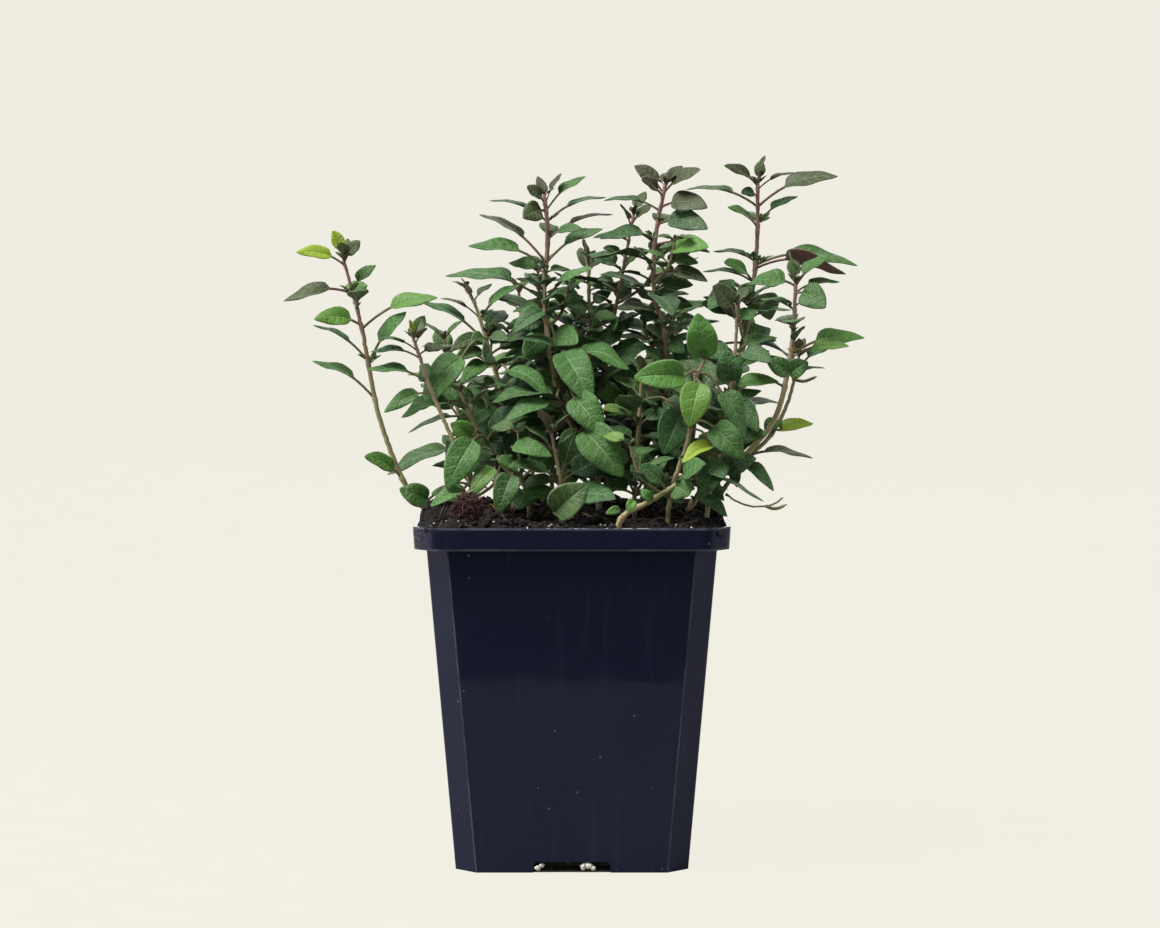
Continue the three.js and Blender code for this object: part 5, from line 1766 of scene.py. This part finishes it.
class OREGANO_OT_stage(bpy.types.Operator):
    """Make the pale floor, the soft lights and the camera"""

    bl_idname = "oregano.stage"
    bl_label = "Stage"

    def execute(self, context):
        settings = context.scene.oregano_stage
        make_backdrop(settings)
        make_lights(settings)
        make_camera(context.scene, settings)
        return {"FINISHED"}


class OREGANO_OT_pot(bpy.types.Operator):
    """Make the moulded pot with its rounded edges"""

    bl_idname = "oregano.pot"
    bl_label = "Pot"

    def execute(self, context):
        build_pot(context.scene.oregano_pot)
        return {"FINISHED"}


class OREGANO_OT_soil(bpy.types.Operator):
    """Make the root ball with its crumbly top"""

    bl_idname = "oregano.soil"
    bl_label = "Soil"

    def execute(self, context):
        build_soil(context.scene.oregano_soil)
        return {"FINISHED"}


class OREGANO_OT_litter(bpy.types.Operator):
    """Scatter crumbs, grains, dry roots and straws over the soil"""

    bl_idname = "oregano.litter"
    bl_label = "Litter"

    def execute(self, context):
        build_litter(context.scene.oregano_soil)
        return {"FINISHED"}


class OREGANO_OT_stems(bpy.types.Operator):
    """Grow all stems with their leaves, hairs and young tips"""

    bl_idname = "oregano.stems"
    bl_label = "Stems and leaves"

    def execute(self, context):
        settings = context.scene.oregano_leaves
        materials = [stalk_material(settings), leaf_material(settings), hair_material()]
        grown, shoots = grow_plant()
        for i, (name, leaves) in enumerate(grown.items()):
            build_stem(name, leaves, shoots[name], materials, STEM_SEED + i)
        return {"FINISHED"}


class OREGANO_PT_panel(bpy.types.Panel):
    """The plant's pieces and their settings"""

    bl_label = "Potted oregano"
    bl_idname = "OREGANO_PT_panel"
    bl_space_type = "VIEW_3D"
    bl_region_type = "UI"
    bl_category = "Oregano"

    def draw(self, context):
        for operator in OPERATORS:
            self.layout.operator(operator.bl_idname)
        for group in GROUPS:
            box = self.layout.box()
            for name in GROUPS[group].__annotations__:
                box.prop(getattr(context.scene, group), name)


GROUPS = {
    "oregano_pot": PotSettings, "oregano_soil": SoilSettings,
    "oregano_leaves": LeafSettings, "oregano_stage": StageSettings,
}
OPERATORS = [OREGANO_OT_stage, OREGANO_OT_pot, OREGANO_OT_soil, OREGANO_OT_litter, OREGANO_OT_stems]


def register():
    for group, kind in GROUPS.items():
        bpy.utils.register_class(kind)
        setattr(bpy.types.Scene, group, bpy.props.PointerProperty(type=kind))
    for kind in [*OPERATORS, OREGANO_PT_panel]:
        bpy.utils.register_class(kind)


def unregister():
    for kind in [OREGANO_PT_panel, *reversed(OPERATORS)]:
        bpy.utils.unregister_class(kind)
    for group, kind in reversed(GROUPS.items()):
        delattr(bpy.types.Scene, group)
        bpy.utils.unregister_class(kind)


# The stage.


def make_backdrop(settings):
    """A sheet that lies flat and curves up behind: a straight line, a quarter circle and a
    straight line, carried sideways."""
    radius, back, front, height, half = 0.6, 1.1, -0.215, 2.4, 3.5
    bend = np.linspace(0, math.pi / 2, 24)
    y = [*np.linspace(front, back, 12), *(back + radius * np.sin(bend)), back + radius]
    z = [*np.zeros(12), *(radius * (1 - np.cos(bend))), height]
    x = np.linspace(-half, half, 9)
    y, z = np.array([y, z])[..., None]
    grid = np.stack(np.broadcast_arrays(x[None], y, z), -1) * 1000
    rows, columns = grid.shape[:2]
    i, j = np.meshgrid(np.arange(rows - 1), np.arange(columns - 1), indexing="ij")
    a = i * columns + j
    faces = np.stack([a, a + 1, a + columns + 1, a + columns], -1).reshape(-1, 4)
    surface = Surface()
    surface.add(grid, [faces])
    sheet = surface.object("backdrop", [backdrop_material(settings)])
    sheet.parent = None
    del sheet["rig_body"]


def make_lights(settings):
    """A large soft light above on the left, low panels on both sides and behind, a fill beside the
    camera that no gloss shows, and a weak sky. All lamps face the middle of the plant."""
    lights = [
        ("Key", (-0.42, -0.3, 1.15), 0.6, settings.key),
        ("Left", (-0.5, -0.02, 0.2), 0.4, settings.side),
        ("Left front", (-0.75, -0.42, 0.3), 0.12, settings.side * 0.14),
        ("Right", (0.55, 0.02, 0.2), 0.34, settings.side * 0.5),
        ("Front fill", (0.15, -1.1, 0.5), 0.8, settings.fill),
        ("Behind", (0.1, 1.0, 0.55), 1.0, settings.behind),
    ]
    aim = np.array([0, 0, 0.12])
    for name, place, size, power in lights:
        lamp = bpy.data.lights.new(name, "AREA")
        lamp.shape, lamp.size, lamp.energy = "SQUARE", size, power
        lamp.color = (1.0, 0.985, 0.95)
        made = bpy.data.objects.new(name, lamp)
        made.location = place
        made.visible_camera = False
        made.visible_glossy = name != "Front fill"
        made.rotation_euler = Vector(aim - np.array(place)).to_track_quat("-Z", "Y").to_euler()
        bpy.context.scene.collection.objects.link(made)
    world = bpy.data.worlds.new("Even sky")
    world.use_nodes = True
    tree = world.node_tree
    background = tree.nodes["Background"]
    background.inputs["Color"].default_value = (*settings.backdrop, 1)
    seen = node(tree, "ShaderNodeLightPath").outputs["Is Camera Ray"]
    tree.links.new(step(tree, seen, 0.0, 1.0, settings.sky, 1.0), background.inputs["Strength"])
    bpy.context.scene.world = world
    bpy.context.scene.view_settings.view_transform = "Standard"


def make_camera(scene, settings):
    """The camera: it stands in front and looks down by the pitch."""
    lens = bpy.data.cameras.new("Camera")
    lens.lens, lens.sensor_width = settings.focal_length, 36
    lens.clip_start, lens.clip_end = 0.05, 20
    camera = bpy.data.objects.new("Camera", lens)
    camera.location = settings.camera_place
    camera.rotation_euler = (math.pi / 2 - settings.camera_pitch, 0, 0)
    scene.collection.objects.link(camera)
    scene.camera = camera


def main():
    register()
    bpy.ops.oregano.stage()
    bpy.ops.oregano.pot()
    bpy.ops.oregano.soil()
    bpy.ops.oregano.litter()
    bpy.ops.oregano.stems()


if __name__ == "__main__":
    main()
